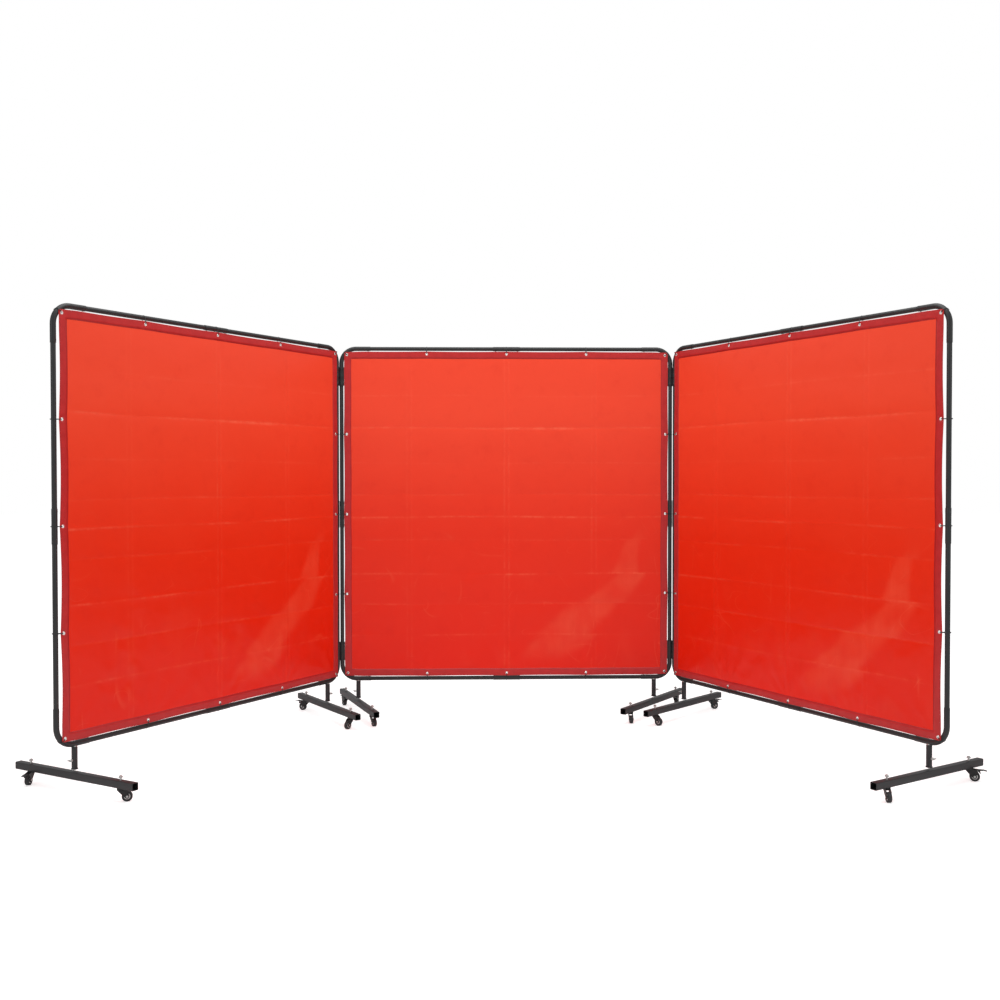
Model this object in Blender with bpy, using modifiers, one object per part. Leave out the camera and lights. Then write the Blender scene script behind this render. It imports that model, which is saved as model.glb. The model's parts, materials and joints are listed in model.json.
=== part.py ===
"""Welding curtain screen.

Three tubular frames, each with a flexible curtain tied in front of it, stand edge to edge on six
T-shaped feet. Two pairs of double clips join the frames at their posts, so that the side panels fold
like wings. Each foot turns on a stub of the bottom rail and rolls on two swivel casters.

Lengths are in metres and angles in degrees. The centre panel stands in the XZ plane, its curtain on
the -Y side, and the side panels fold towards -Y.
"""
import math

import bmesh
import bpy
from mathutils import Matrix, Vector

# Tube stock and how it plugs together.
TUBE_RADIUS = 0.011
TUBE_WALL = 0.00115
SLEEVE_FIT = 0.00035  # radial gap between a tube and the sleeve that it plugs into
SLEEVE_RADIUS = TUBE_RADIUS + SLEEVE_FIT + TUBE_WALL
SLEEVE_STEP = 0.0006  # length of the shoulder at a sleeve's end
TUBE_RESOLUTION = 2  # a curve's bevel resolution, which gives eight sides
PLUG_DEPTH = 0.030
BEND_RADIUS = 0.082
BEND_STEPS = 4
ELBOW_STRAIGHT = 0.0805  # straight run of an elbow past its bend
ELBOW_ARM = BEND_RADIUS + ELBOW_STRAIGHT
COUPLER_LENGTH = 0.150

# The curtain, and the frame round it.
CURTAIN_WIDTH = 1.829
CURTAIN_HEIGHT = 1.829
CURTAIN_THICKNESS = 0.002
CURTAIN_GAP = 0.001  # clear space between the curtain and the sleeves behind it
SIDE_GAP = 0.0145  # curtain's edge to a post's centreline
TOP_GAP = 0.016  # curtain's edge to the top rail's centreline
BOTTOM_GAP = 0.015
FRAME_WIDTH = CURTAIN_WIDTH + 2 * SIDE_GAP
FRAME_HEIGHT = CURTAIN_HEIGHT + TOP_GAP + BOTTOM_GAP

# Double clips that hold two posts side by side.
CLIP_FIT = 0.0003
CLIP_WALL = 0.002
CLIP_WEB = 0.0018
CLIP_HEIGHT = 0.104
CLIP_START = 0.0215  # clip's end to the end of the elbow's bend
BORE_SIDES = 14
RIM_STEPS = 8
CLIP_BORE = (SLEEVE_RADIUS + CLIP_FIT) / math.cos(math.pi / BORE_SIDES)
CLIP_RADIUS = CLIP_BORE + CLIP_WALL
POST_SPACING = 2 * CLIP_BORE + CLIP_WEB

# Casters.
WHEEL_RADIUS = 0.022
WHEEL_WIDTH = 0.018
WHEEL_SIDES = 20
AXLE_RADIUS = 0.004
AXLE_SIDES = 8
AXLE_FIT = 0.0005
AXLE_HEAD = 0.002  # how far the axle stands out on each side of the fork
TRAIL = 0.025
PLATE_THICKNESS = 0.0015
PLATE_GAP = 0.0008  # wheel to fork plate
CROWN_RADIUS = 0.016
CROWN_SIDES = 10
CROWN_HEIGHT = 0.011
CROWN_RISE = 0.0035  # crown's underside above the wheel's top
PLATE_REACH = 0.7 * CROWN_RADIUS  # plate's top edge, before and behind the stem
BOSS_RADIUS = 0.009
BOSS_STEPS = 5
BOSS_FIRST = 30.0  # where the boss's arc starts, measured from the rear towards the top
BOSS_SWEEP = -245.0
STEM_RADIUS = 0.0045
STEM_SIDES = 6
STEM_FIT = 0.001
STEM_HEAD_RADIUS = 0.0085
STEM_HEAD_SIDES = 8
STEM_HEAD_HEIGHT = 0.002
SWIVEL_GAP = 0.0005  # clear space above the stem's head
BAR_CLEARANCE = 0.0015  # crown's top to the crossbar
CROWN_BOTTOM = 2 * WHEEL_RADIUS + CROWN_RISE
CROWN_TOP = CROWN_BOTTOM + CROWN_HEIGHT
CASTER_HEIGHT = CROWN_TOP + BAR_CLEARANCE

# Brake pedal, behind and above the wheel.
PEDAL_BACK = 0.011  # pivot behind the axle
PEDAL_RISE = 0.005  # pivot above the wheel's top
PEDAL_REACH = 0.039  # tip behind the pivot
PEDAL_SIDE_GAP = 0.0006
PEDAL_THICKNESS = 0.0025
PEDAL_HUB = 0.0045
PEDAL_BEND = 0.62 * PEDAL_REACH  # where the blade turns down, behind the pivot
PEDAL_TIP_RISE = 0.75 * PEDAL_THICKNESS  # top of the blade's tip above the pivot
PEDAL_TIP_DROP = 0.25 * PEDAL_THICKNESS
SHOE_ROOT = (0.9 * PEDAL_HUB, -0.8 * PEDAL_HUB)  # where the shoe's inner face leaves the hub
SHOE_CORNER = 2.3 * PEDAL_HUB  # where the shoe's outer face meets the blade
PEDAL_PIVOT = (TRAIL + PEDAL_BACK, 2 * WHEEL_RADIUS + PEDAL_RISE)
PIN_RADIUS = 0.0018
PIN_FIT = 0.0004
PIN_SIDES = 6
EAR_STEPS = 3
EAR_FIRST = 90.0  # where the ear's arc starts round the pivot
EAR_SWEEP = -120.0
HUB_STEPS = 5
HUB_FIRST = 75.0
HUB_SWEEP = 180.0
SHOE_GAP = 0.0048
SHOE_ANGLE = 33.0

# Feet.
BAR_SIZE = 0.032
BAR_WALL = 0.0015
BAR_LENGTH = 0.730
CASTER_REACH = 0.280  # foot's middle to a caster's stem
FOOT_INSET = 0.090  # post's centreline to a foot's upright
FOOT_X = FRAME_WIDTH / 2 - FOOT_INSET
UPRIGHT_HEIGHT = 0.104
UPRIGHT_RADIUS = 0.0125
UPRIGHT_WALL = 0.0015
STUB_FIT = 0.001
STUB_RADIUS = UPRIGHT_RADIUS - UPRIGHT_WALL - STUB_FIT
STUB_END_GAP = 0.006
STUB_SIDES = 12
STUB_DROP = TUBE_RADIUS / 3  # stub's top below the rail's centreline
RAIL_GAP = 0.003
NUT_RADIUS = 0.0078
NUT_HEIGHT = 0.007
NUT_SIDES = 6
STEM_TOP = 0.003  # bolt end above its nut
WING_HEIGHT = 0.048  # wing bolt above the bar
WING_SHANK = 0.003
WING_SHANK_SIDES = 6
WING_HUB = 0.0055
WING_HUB_SIDES = 8
WING_STANDOFF = 0.006
WING_SPAN = 0.030
WING_DEPTH = 0.009
WING_THICKNESS = 0.0026
BAR_BOTTOM = CASTER_HEIGHT
BAR_TOP = BAR_BOTTOM + BAR_SIZE
RAIL_Z = BAR_TOP + UPRIGHT_HEIGHT + RAIL_GAP + TUBE_RADIUS
TOP_Z = RAIL_Z + FRAME_HEIGHT

# How the screen stands: folds from flat, bar yaws from +Y towards +X, and where each caster trails.
LEFT_FOLD = 57.8
RIGHT_FOLD = 62.8
FEET = {
    "centre_left": {"yaw": -21.0, "front": -62.0, "back": 118.0},
    "centre_right": {"yaw": 36.4, "front": -88.0, "back": 64.0},
    "left_inner": {"yaw": -33.1, "front": -122.0, "back": 150.0},
    "left_outer": {"yaw": -59.1, "front": 15.0, "back": -95.0},
    "right_inner": {"yaw": 44.7, "front": -48.0, "back": 28.0},
    "right_outer": {"yaw": 58.5, "front": -92.0, "back": -22.0},
}

WELD = 0.00001  # merge distance for doubled vertices
SHARP_ANGLE = 40.0  # faces that meet at more than this are shaded apart


def collection(name):
    group = bpy.data.collections.new(name)
    bpy.context.scene.collection.children.link(group)
    return group


def finish(name, colour, roughness, metallic):
    """A Principled material of one colour."""
    material = bpy.data.materials.new(name)
    material.use_nodes = True
    shader = material.node_tree.nodes["Principled BSDF"]
    shader.inputs["Base Color"].default_value = (*colour, 1)
    shader.inputs["Roughness"].default_value = roughness
    shader.inputs["Metallic"].default_value = metallic
    material.diffuse_color = (*colour, 1)
    return material


def mesh_of(bm, name):
    mesh = bpy.data.meshes.new(name)
    bm.to_mesh(mesh)
    bm.free()
    return mesh


def block(size, centre):
    """A box of a given size about a point."""
    bm = bmesh.new()
    bmesh.ops.create_cube(bm, size=1)
    bmesh.ops.scale(bm, vec=size, verts=bm.verts)
    bmesh.ops.translate(bm, vec=centre, verts=bm.verts)
    return mesh_of(bm, "block")


def rod(radius, start, end, sides):
    """A round bar between two points."""
    start, end = Vector(start), Vector(end)
    bm = bmesh.new()
    bmesh.ops.create_cone(
        bm, cap_ends=True, segments=sides, radius1=radius, radius2=radius, depth=(end - start).length
    )
    turn = Vector((0, 0, 1)).rotation_difference(end - start).to_matrix().to_4x4()
    bmesh.ops.transform(bm, matrix=Matrix.Translation((start + end) / 2) @ turn, verts=bm.verts)
    return mesh_of(bm, "rod")


def evaluated(obj):
    """An object's mesh after its modifiers, with the object and its data removed."""
    bpy.context.scene.collection.objects.link(obj)
    bpy.context.view_layer.update()
    mesh = bpy.data.meshes.new_from_object(obj.evaluated_get(bpy.context.evaluated_depsgraph_get()))
    bpy.data.objects.remove(obj)
    bm = bmesh.new()
    bm.from_mesh(mesh)
    bmesh.ops.remove_doubles(bm, verts=bm.verts, dist=WELD)
    bm.to_mesh(mesh)
    bm.free()
    return mesh


def ring(inner, outer, low, high, sides):
    """A plain ring about Z, turned from its section."""
    bm = bmesh.new()
    corners = [(outer, high), (outer, low), (inner, low), (inner, high)]
    points = [bm.verts.new((r, 0, z)) for r, z in corners]
    for first, second in zip(points, points[1:] + points[:1]):
        bm.edges.new((first, second))
    obj = bpy.data.objects.new("ring", mesh_of(bm, "ring"))
    screw = obj.modifiers.new("turn", "SCREW")
    screw.steps = screw.render_steps = sides
    screw.use_merge_vertices = True
    screw.merge_threshold = WELD
    return evaluated(obj)


def flat(outlines, thickness, upright=True):
    """A plate from closed outlines, the later ones holes. Upright puts it in the XZ plane about y=0."""
    curve = bpy.data.curves.new("outline", "CURVE")
    curve.dimensions = "2D"
    curve.fill_mode = "BOTH"
    curve.extrude = thickness / 2
    for outline in outlines:
        spline = curve.splines.new("POLY")
        spline.points.add(len(outline) - 1)
        for point, (x, y) in zip(spline.points, outline):
            point.co = (x, y, 0, 1)
        spline.use_cyclic_u = True
    mesh = evaluated(bpy.data.objects.new("outline", curve))
    if upright:
        mesh.transform(Matrix.Rotation(math.pi / 2, 4, "X"))
    return mesh


def tube(path, radii):
    """A hollow tube along a path, with a radius for each point and open ends."""
    curve = bpy.data.curves.new("tube", "CURVE")
    curve.dimensions = "3D"
    curve.bevel_depth = 1
    curve.bevel_resolution = TUBE_RESOLUTION
    spline = curve.splines.new("POLY")
    spline.points.add(len(path) - 1)
    for point, place, radius in zip(spline.points, path, radii):
        point.co = (*place, 1)
        point.radius = radius
    obj = bpy.data.objects.new("tube", curve)
    wall = obj.modifiers.new("wall", "SOLIDIFY")
    wall.thickness = TUBE_WALL
    wall.offset = -1
    wall.use_even_offset = True
    return evaluated(obj)


def combined(base, tools, operation="UNION"):
    """A mesh with others joined to it or cut from it."""
    obj = bpy.data.objects.new("base", base)
    helpers = []
    for tool in tools:
        helper = bpy.data.objects.new("tool", tool)
        bpy.context.scene.collection.objects.link(helper)
        helpers.append(helper)
        step = obj.modifiers.new("step", "BOOLEAN")
        step.operation = operation
        step.solver = "EXACT"
        step.object = helper
    mesh = evaluated(obj)
    for helper in helpers:
        bpy.data.objects.remove(helper)
    return mesh


def moved(mesh, matrix):
    mesh.transform(matrix)
    return mesh


def circle(centre, radius, sides, first=0.0, sweep=360.0):
    """Points round an arc. A whole circle leaves out the last, which would repeat the first."""
    count = sides if sweep == 360 else sides + 1
    turns = [math.radians(first + sweep * i / sides) for i in range(count)]
    return [(centre[0] + radius * math.cos(a), centre[1] + radius * math.sin(a)) for a in turns]


def rail_stations():
    """Points of a rail from its left leg to its right: x, the depth towards the panel's middle, radius."""
    half = FRAME_WIDTH / 2
    stations = [(-half, ELBOW_ARM, SLEEVE_RADIUS)]
    for i in range(BEND_STEPS + 1):
        angle = math.pi / 2 * i / BEND_STEPS
        x = -half + BEND_RADIUS * (1 - math.cos(angle))
        stations.append((x, BEND_RADIUS * (1 - math.sin(angle)), SLEEVE_RADIUS))
    stations += [
        (-half + ELBOW_ARM, 0, SLEEVE_RADIUS),
        (-half + ELBOW_ARM + SLEEVE_STEP, 0, TUBE_RADIUS),
        (-COUPLER_LENGTH / 2 - SLEEVE_STEP, 0, TUBE_RADIUS),
        (-COUPLER_LENGTH / 2, 0, SLEEVE_RADIUS),
    ]
    return stations + [(-x, depth, radius) for x, depth, radius in reversed(stations)]


def top_rail():
    """The top tube with its middle coupler and both elbows."""
    stations = rail_stations()
    return tube([(x, 0, TOP_Z - depth) for x, depth, _ in stations], [r for _, _, r in stations])


def bottom_rail():
    """The bottom tube with its coupler and elbows, and the two stubs that stand in the feet."""
    stations = rail_stations()
    rail = tube([(x, 0, RAIL_Z + depth) for x, depth, _ in stations], [r for _, _, r in stations])
    start, end = BAR_TOP + STUB_END_GAP, RAIL_Z - STUB_DROP
    stubs = [
        rod(STUB_RADIUS, (x, 0, start), (x, 0, end), STUB_SIDES) for x in (-FOOT_X, FOOT_X)
    ]
    return combined(rail, stubs)


def post():
    """A side tube with its middle coupler, plugged into the elbows at both ends."""
    low = RAIL_Z + ELBOW_ARM - PLUG_DEPTH
    high = TOP_Z - ELBOW_ARM + PLUG_DEPTH
    middle = (low + high) / 2
    start, end = middle - COUPLER_LENGTH / 2, middle + COUPLER_LENGTH / 2
    heights = [low, start - SLEEVE_STEP, start, end, end + SLEEVE_STEP, high]
    radii = [TUBE_RADIUS, TUBE_RADIUS, SLEEVE_RADIUS, SLEEVE_RADIUS, TUBE_RADIUS, TUBE_RADIUS]
    return tube([(0, 0, z) for z in heights], radii)


def curtain():
    """The curtain's plain sheet, hung clear of the frame on its -Y side."""
    y = -(SLEEVE_RADIUS + CURTAIN_GAP + CURTAIN_THICKNESS / 2)
    z = TOP_Z - TOP_GAP - CURTAIN_HEIGHT / 2
    return block((CURTAIN_WIDTH, CURTAIN_THICKNESS, CURTAIN_HEIGHT), (0, y, z))


def clip():
    """A figure-of-eight collar along X, its first bore on the Z axis."""
    half = POST_SPACING / 2
    waist = math.degrees(math.acos(half / CLIP_RADIUS))
    sweep = 2 * (180 - waist)
    rim = circle((half, 0), CLIP_RADIUS, RIM_STEPS, waist - 180, sweep)
    rim += circle((-half, 0), CLIP_RADIUS, RIM_STEPS, waist, sweep)[1:-1]
    bores = [circle((x, 0), CLIP_BORE, BORE_SIDES) for x in (half, -half)]
    return moved(flat([rim, *bores], CLIP_HEIGHT, upright=False), Matrix.Translation((half, 0, 0)))


def foot():
    """The crossbar along Y with its upright, caster stems, nuts and wing bolt, the bolt towards +X."""
    middle = (BAR_BOTTOM + BAR_TOP) / 2
    inside = BAR_SIZE - 2 * BAR_WALL
    bar = combined(
        block((BAR_SIZE, BAR_LENGTH, BAR_SIZE), (0, 0, middle)),
        [block((inside, BAR_LENGTH + BAR_SIZE, inside), (0, 0, middle))],
        "DIFFERENCE",
    )
    sunk = BAR_WALL / 2
    bore = UPRIGHT_RADIUS - UPRIGHT_WALL
    pieces = [ring(bore, UPRIGHT_RADIUS, BAR_TOP - sunk, BAR_TOP + UPRIGHT_HEIGHT, BORE_SIDES)]
    head_top = CROWN_BOTTOM - SWIVEL_GAP
    for y in (-CASTER_REACH, CASTER_REACH):
        nut_top = BAR_TOP + NUT_HEIGHT
        head_start = (0, y, head_top - STEM_HEAD_HEIGHT)
        pieces += [
            rod(STEM_RADIUS, (0, y, head_top - sunk), (0, y, nut_top + STEM_TOP), STEM_SIDES),
            rod(STEM_HEAD_RADIUS, head_start, (0, y, head_top), STEM_HEAD_SIDES),
            rod(NUT_RADIUS, (0, y, BAR_TOP - sunk), (0, y, nut_top), NUT_SIDES),
        ]
    z = BAR_TOP + WING_HEIGHT
    hub_start = UPRIGHT_RADIUS + WING_STANDOFF
    wing_centre = hub_start + WING_DEPTH / 2 + WING_SHANK
    shank_start, shank_end = STUB_RADIUS + STUB_FIT / 2, hub_start + WING_SHANK
    pieces += [
        rod(WING_SHANK, (shank_start, 0, z), (shank_end, 0, z), WING_SHANK_SIDES),
        rod(WING_HUB, (hub_start, 0, z), (wing_centre, 0, z), WING_HUB_SIDES),
        block((WING_DEPTH, WING_SPAN, WING_THICKNESS), (wing_centre, 0, z)),
    ]
    return combined(bar, pieces)


def fork_outline(braked):
    """A fork plate, swept back from the crown to the axle, with an ear for the pedal's pin."""
    crown = CROWN_TOP - PLATE_THICKNESS
    front = [(-PLATE_REACH, CROWN_BOTTOM - PLATE_THICKNESS), (-PLATE_REACH, crown)]
    boss = circle((TRAIL, WHEEL_RADIUS), BOSS_RADIUS, BOSS_STEPS, BOSS_FIRST, BOSS_SWEEP)
    if braked:
        x, z = PEDAL_PIVOT
        ear = circle(PEDAL_PIVOT, PEDAL_HUB, EAR_STEPS, EAR_FIRST, EAR_SWEEP)
        back = [(PLATE_REACH, crown), (x - PEDAL_BACK / 2, z + PEDAL_HUB)]
        return front + back + ear + boss
    return front + [(PLATE_REACH, crown), (TRAIL, CROWN_BOTTOM)] + boss


def fork(braked):
    """A swivel caster's fork with its crown, plates and axle, swivelling about Z and trailing +X."""
    spread = WHEEL_WIDTH / 2 + PLATE_GAP + PLATE_THICKNESS / 2
    bore = STEM_RADIUS + STEM_FIT
    crown = ring(bore, CROWN_RADIUS, CROWN_BOTTOM, CROWN_TOP, CROWN_SIDES)
    outline = fork_outline(braked)
    pieces = [
        moved(flat([outline], PLATE_THICKNESS), Matrix.Translation((0, side * spread, 0)))
        for side in (-1, 1)
    ]
    reach = spread + PLATE_THICKNESS / 2
    end = reach + AXLE_HEAD
    axle_ends = (TRAIL, -end, WHEEL_RADIUS), (TRAIL, end, WHEEL_RADIUS)
    pieces.append(rod(AXLE_RADIUS, *axle_ends, AXLE_SIDES))
    if braked:
        x, z = PEDAL_PIVOT
        pieces.append(rod(PIN_RADIUS, (x, -reach, z), (x, reach, z), PIN_SIDES))
    return combined(crown, pieces)


def wheel():
    """A wheel about the Y axis with a flat of its tread down."""
    rim = WHEEL_RADIUS / math.cos(math.pi / WHEEL_SIDES)
    bore = (AXLE_RADIUS + AXLE_FIT) / math.cos(math.pi / WHEEL_SIDES)
    mesh = ring(bore, rim, -WHEEL_WIDTH / 2, WHEEL_WIDTH / 2, WHEEL_SIDES)
    mesh.transform(Matrix.Rotation(math.pi / WHEEL_SIDES, 4, "Z"))
    return moved(mesh, Matrix.Rotation(math.pi / 2, 4, "X"))


def pedal():
    """A brake pedal about its pin at the origin: a hub, a blade to the rear and a shoe over the tread."""
    x, z = PEDAL_PIVOT
    angle = math.radians(SHOE_ANGLE)
    reach = WHEEL_RADIUS + SHOE_GAP
    shoe = Vector((TRAIL - x + reach * math.cos(angle), WHEEL_RADIUS - z + reach * math.sin(angle)))
    outline = circle((0, 0), PEDAL_HUB, HUB_STEPS, HUB_FIRST, HUB_SWEEP)
    outline += [
        SHOE_ROOT,
        tuple(shoe),
        tuple(shoe + Vector((PEDAL_THICKNESS, PEDAL_TIP_DROP))),
        (SHOE_CORNER, 0),
        (PEDAL_BEND, PEDAL_HUB - PEDAL_THICKNESS),
        (PEDAL_REACH, -PEDAL_TIP_DROP),
        (PEDAL_REACH, PEDAL_TIP_RISE),
        (PEDAL_BEND, PEDAL_HUB),
    ]
    hole = circle((0, 0), (PIN_RADIUS + PIN_FIT) / math.cos(math.pi / PIN_SIDES), PIN_SIDES)
    return flat([outline, hole], WHEEL_WIDTH + 2 * PLATE_GAP - 2 * PEDAL_SIDE_GAP)


def place(name, data, parent, at=(0, 0, 0), turn=0.0, material=None):
    """Put a piece, or an empty if there is no data, in the parts' collection."""
    obj = bpy.data.objects.new(name, data)
    PARTS.objects.link(obj)
    obj.parent = parent
    obj.location = at
    obj.rotation_euler = (0, 0, math.radians(turn))
    if material is not None and not data.materials:
        data.materials.append(material)
        data.shade_smooth()
        data.set_sharp_from_angle(angle=math.radians(SHARP_ANGLE))
    return obj


def build_foot(name, parent, x, panel_turn, outward):
    """A foot under a panel, with its casters. Outward is +1 where the wing bolt faces the panel's +X."""
    stance = FEET[name]
    turn = -stance["yaw"] + (0 if outward > 0 else 180)
    base = place(f"{name}_foot", SHAPES["foot"], parent, (x, 0, 0), turn - panel_turn, STEEL)
    for end in ("front", "back"):
        braked = end == "back"
        side = outward if braked else -outward
        kind = "braked_fork" if braked else "fork"
        heading = stance[end] - turn
        caster = place(
            f"{name}_{end}_fork", SHAPES[kind], base, (0, side * CASTER_REACH, 0), heading, PLASTIC
        )
        hub = (TRAIL, 0, WHEEL_RADIUS)
        place(f"{name}_{end}_wheel", SHAPES["wheel"], caster, hub, 0, RUBBER)
        if braked:
            pivot = (PEDAL_PIVOT[0], 0, PEDAL_PIVOT[1])
            place(f"{name}_brake_pedal", SHAPES["pedal"], caster, pivot, 0, PLASTIC)


def build_panel(name, parent, at, turn, posts, feet):
    """A frame with its curtain and feet, about an empty in the panel's middle on the floor."""
    panel = place(f"{name}_panel_place", None, parent, at, turn)
    place(f"{name}_top_rail", SHAPES["top_rail"], panel, material=STEEL)
    place(f"{name}_bottom_rail", SHAPES["bottom_rail"], panel, material=STEEL)
    place(f"{name}_curtain", SHAPES["curtain"], panel, material=VINYL)
    for side, post_name in zip((-1, 1), posts):
        place(post_name, SHAPES["post"], panel, (side * FRAME_WIDTH / 2, 0, 0), 0, STEEL)
    for side, foot_name in zip((-1, 1), feet):
        build_foot(foot_name, panel, side * FOOT_X, turn, side)


def build_side(name, parent, side, fold):
    """A side panel and its two clips. Side is -1 on the left; the clips lie along half the fold."""
    post_at = Vector((side * FRAME_WIDTH / 2, 0, 0))
    half = math.radians(fold / 2)
    along = Vector((side * math.cos(half), -math.sin(half), 0))
    clip_turn = math.degrees(math.atan2(along.y, along.x))
    start = BEND_RADIUS + CLIP_START + CLIP_HEIGHT / 2
    for level, z in (("lower", RAIL_Z + start), ("upper", TOP_Z - start)):
        spot = post_at + Vector((0, 0, z))
        place(f"{name}_{level}_clip", SHAPES["clip"], parent, spot, clip_turn, CLIP_PLASTIC)
    pivot = post_at + along * POST_SPACING
    whole = math.radians(fold)
    middle = pivot + Vector((side * math.cos(whole), -math.sin(whole), 0)) * FRAME_WIDTH / 2
    posts = [f"{name}_outer_post", f"{name}_inner_post"]
    feet = [f"{name}_outer", f"{name}_inner"]
    if side > 0:
        posts.reverse()
        feet.reverse()
    build_panel(name, parent, middle, -side * fold, posts, feet)


def stand_on_origin(root):
    """Move the whole screen so that the middle of its box's floor is the origin."""
    bpy.context.view_layer.update()
    corners = [
        obj.matrix_world @ Vector(corner)
        for obj in PARTS.objects
        if obj.type == "MESH"
        for corner in obj.bound_box
    ]
    low = Vector([min(c[i] for c in corners) for i in range(3)])
    high = Vector([max(c[i] for c in corners) for i in range(3)])
    root.location = (-(low.x + high.x) / 2, -(low.y + high.y) / 2, -low.z)
    bpy.context.view_layer.update()


for old in list(bpy.data.objects):
    bpy.data.objects.remove(old)

PARTS = collection("welding_curtain_screen")
STEEL = finish("powder_coated_steel", (0.045, 0.045, 0.050), 0.45, 0.3)
VINYL = finish("orange_vinyl", (0.80, 0.075, 0.025), 0.25, 0.0)
PLASTIC = finish("caster_black", (0.018, 0.018, 0.020), 0.4, 0.0)
CLIP_PLASTIC = finish("clip_black", (0.020, 0.020, 0.022), 0.5, 0.0)
RUBBER = finish("tread_black", (0.022, 0.022, 0.023), 0.6, 0.0)

SHAPES = {
    "top_rail": top_rail(),
    "bottom_rail": bottom_rail(),
    "post": post(),
    "curtain": curtain(),
    "clip": clip(),
    "foot": foot(),
    "fork": fork(False),
    "braked_fork": fork(True),
    "wheel": wheel(),
    "pedal": pedal(),
}

ROOT = place("screen_place", None, None)
build_panel(
    "centre",
    ROOT,
    (0, 0, 0),
    0.0,
    ["centre_left_post", "centre_right_post"],
    ["centre_left", "centre_right"],
)
build_side("left", ROOT, -1, LEFT_FOLD)
build_side("right", ROOT, 1, RIGHT_FOLD)
stand_on_origin(ROOT)
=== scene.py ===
"""Looks of a three-panel welding curtain screen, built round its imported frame.

Lengths are in metres. A panel's own axes are: x along the panel, seen from the curtain's side, y
through it, away from the curtain, and z up.
"""

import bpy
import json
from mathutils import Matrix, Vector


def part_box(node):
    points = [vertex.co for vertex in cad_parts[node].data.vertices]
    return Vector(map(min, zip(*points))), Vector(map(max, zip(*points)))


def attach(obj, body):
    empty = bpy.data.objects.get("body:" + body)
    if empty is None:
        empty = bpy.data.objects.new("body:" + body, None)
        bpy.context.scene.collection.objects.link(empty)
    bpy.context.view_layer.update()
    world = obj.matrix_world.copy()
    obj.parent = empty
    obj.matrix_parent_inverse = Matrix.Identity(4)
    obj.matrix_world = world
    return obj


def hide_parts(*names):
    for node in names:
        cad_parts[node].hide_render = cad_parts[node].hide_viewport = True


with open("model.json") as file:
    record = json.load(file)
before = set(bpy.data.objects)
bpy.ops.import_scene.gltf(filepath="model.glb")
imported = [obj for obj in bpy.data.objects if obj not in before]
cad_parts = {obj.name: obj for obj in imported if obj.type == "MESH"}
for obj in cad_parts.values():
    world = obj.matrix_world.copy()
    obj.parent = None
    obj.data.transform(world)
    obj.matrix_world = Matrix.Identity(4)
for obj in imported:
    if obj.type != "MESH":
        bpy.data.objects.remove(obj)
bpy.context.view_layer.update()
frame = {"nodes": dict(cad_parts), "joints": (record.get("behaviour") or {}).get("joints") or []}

import json
import math

import bpy
import numpy as np
from mathutils import Matrix, Vector

bl_info = {
    "name": "Welding Curtain Screen",
    "version": (1, 0, 0),
    "blender": (4, 5, 0),
    "location": "3D View > Sidebar > Screen",
    "description": "Builds tube frames, vinyl curtains, feet and casters round a fixed frame",
    "category": "Add Mesh",
}

PI = math.pi
X, Y, Z = np.eye(3)
JOINTS = {joint["name"]: joint for joint in frame["joints"]}
PANELS = {
    "centre": ("centre_left_post", "centre_right_post"),
    "left": ("left_outer_post", "left_inner_post"),
    "right": ("right_inner_post", "right_outer_post"),
}
FEET = ("centre_left", "centre_right", "left_inner", "left_outer", "right_inner", "right_outer")
SHARP_ANGLE = math.radians(38)
TUBE_SIDES = 28
GROMMETS_PER_SIDE = 5
HORIZONTAL_FOLDS = (
    (0.136, 0.45), (0.235, 0.75), (0.343, 0.35), (0.440, 0.40), (0.509, 1.0),
    (0.580, 0.35), (0.685, 0.85), (0.778, 0.50), (0.873, 0.55),
)  # share of the height from the top, and how sharply the sheet was folded there
VERTICAL_FOLDS = ((0.20, 0.35), (0.50, 0.55), (0.77, 0.40))
FOLD_PAIR = 0.0125  # half the distance between the two lines of a vertical fold
PULLS = {"centre": (0.003, 0.003, 0.002), "left": (0.007, 0.003, 0.003), "right": (0.003, 0.007, 0.003)}
# how far the ties draw in each sheet's left and right edges, and its top and bottom ones
SHEET_STEPS = 137  # plain grid lines along a side of a sheet
GROMMET_HOLE = 0.0040  # half the side of the square cut behind a grommet
EDGE_REACH = 0.09  # how fast the pull on an edge dies out into the sheet
GOLDEN_ANGLE, GOLDEN_SHARE = 2.399963, 0.618
SCREW_INSET = 0.013  # a screw's middle to its sleeve's end
WASHER = 0.0012
FORK_GAP, FORK_PLATE = 0.0008, 0.0015  # beside the wheel
PEDAL_HUB = 0.0045
CAMERA_PLACE = (-0.1352, -5.5297, 1.33867)
CAMERA_PITCH, CAMERA_YAW, CAMERA_ROLL = 0.01922, 0.02658, -0.00073


# ---------------------------------------------------------------------------------- user settings
def size(name, description, default):
    return bpy.props.FloatProperty(
        name=name, description=description, default=default, unit="LENGTH", precision=4
    )


def colour(name, description, default):
    return bpy.props.FloatVectorProperty(
        name=name, description=description, default=default, subtype="COLOR", size=3, min=0, max=1
    )


class FrameSettings(bpy.types.PropertyGroup):
    """Sizes of the tube frames and the clips."""

    tube: size("Tube radius", "Outside radius of the plain tubes", 0.011)
    wall: size("Wall", "Wall thickness of tubes and sleeves", 0.00115)
    bend: size("Bend", "Radius of an elbow's centreline", 0.082)
    straight: size("Elbow leg", "Straight run of an elbow past its bend", 0.0805)
    plug: size("Plug", "How far a tube stands in a sleeve", 0.030)
    coupler: size("Coupler", "Length of the sleeves in the middle of each side", 0.150)
    coat: colour("Coat", "Powder coat on tubes and elbows", (0.0135, 0.0140, 0.0150))
    clip: colour("Clip", "Plastic of the double clips", (0.010, 0.010, 0.011))


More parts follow.
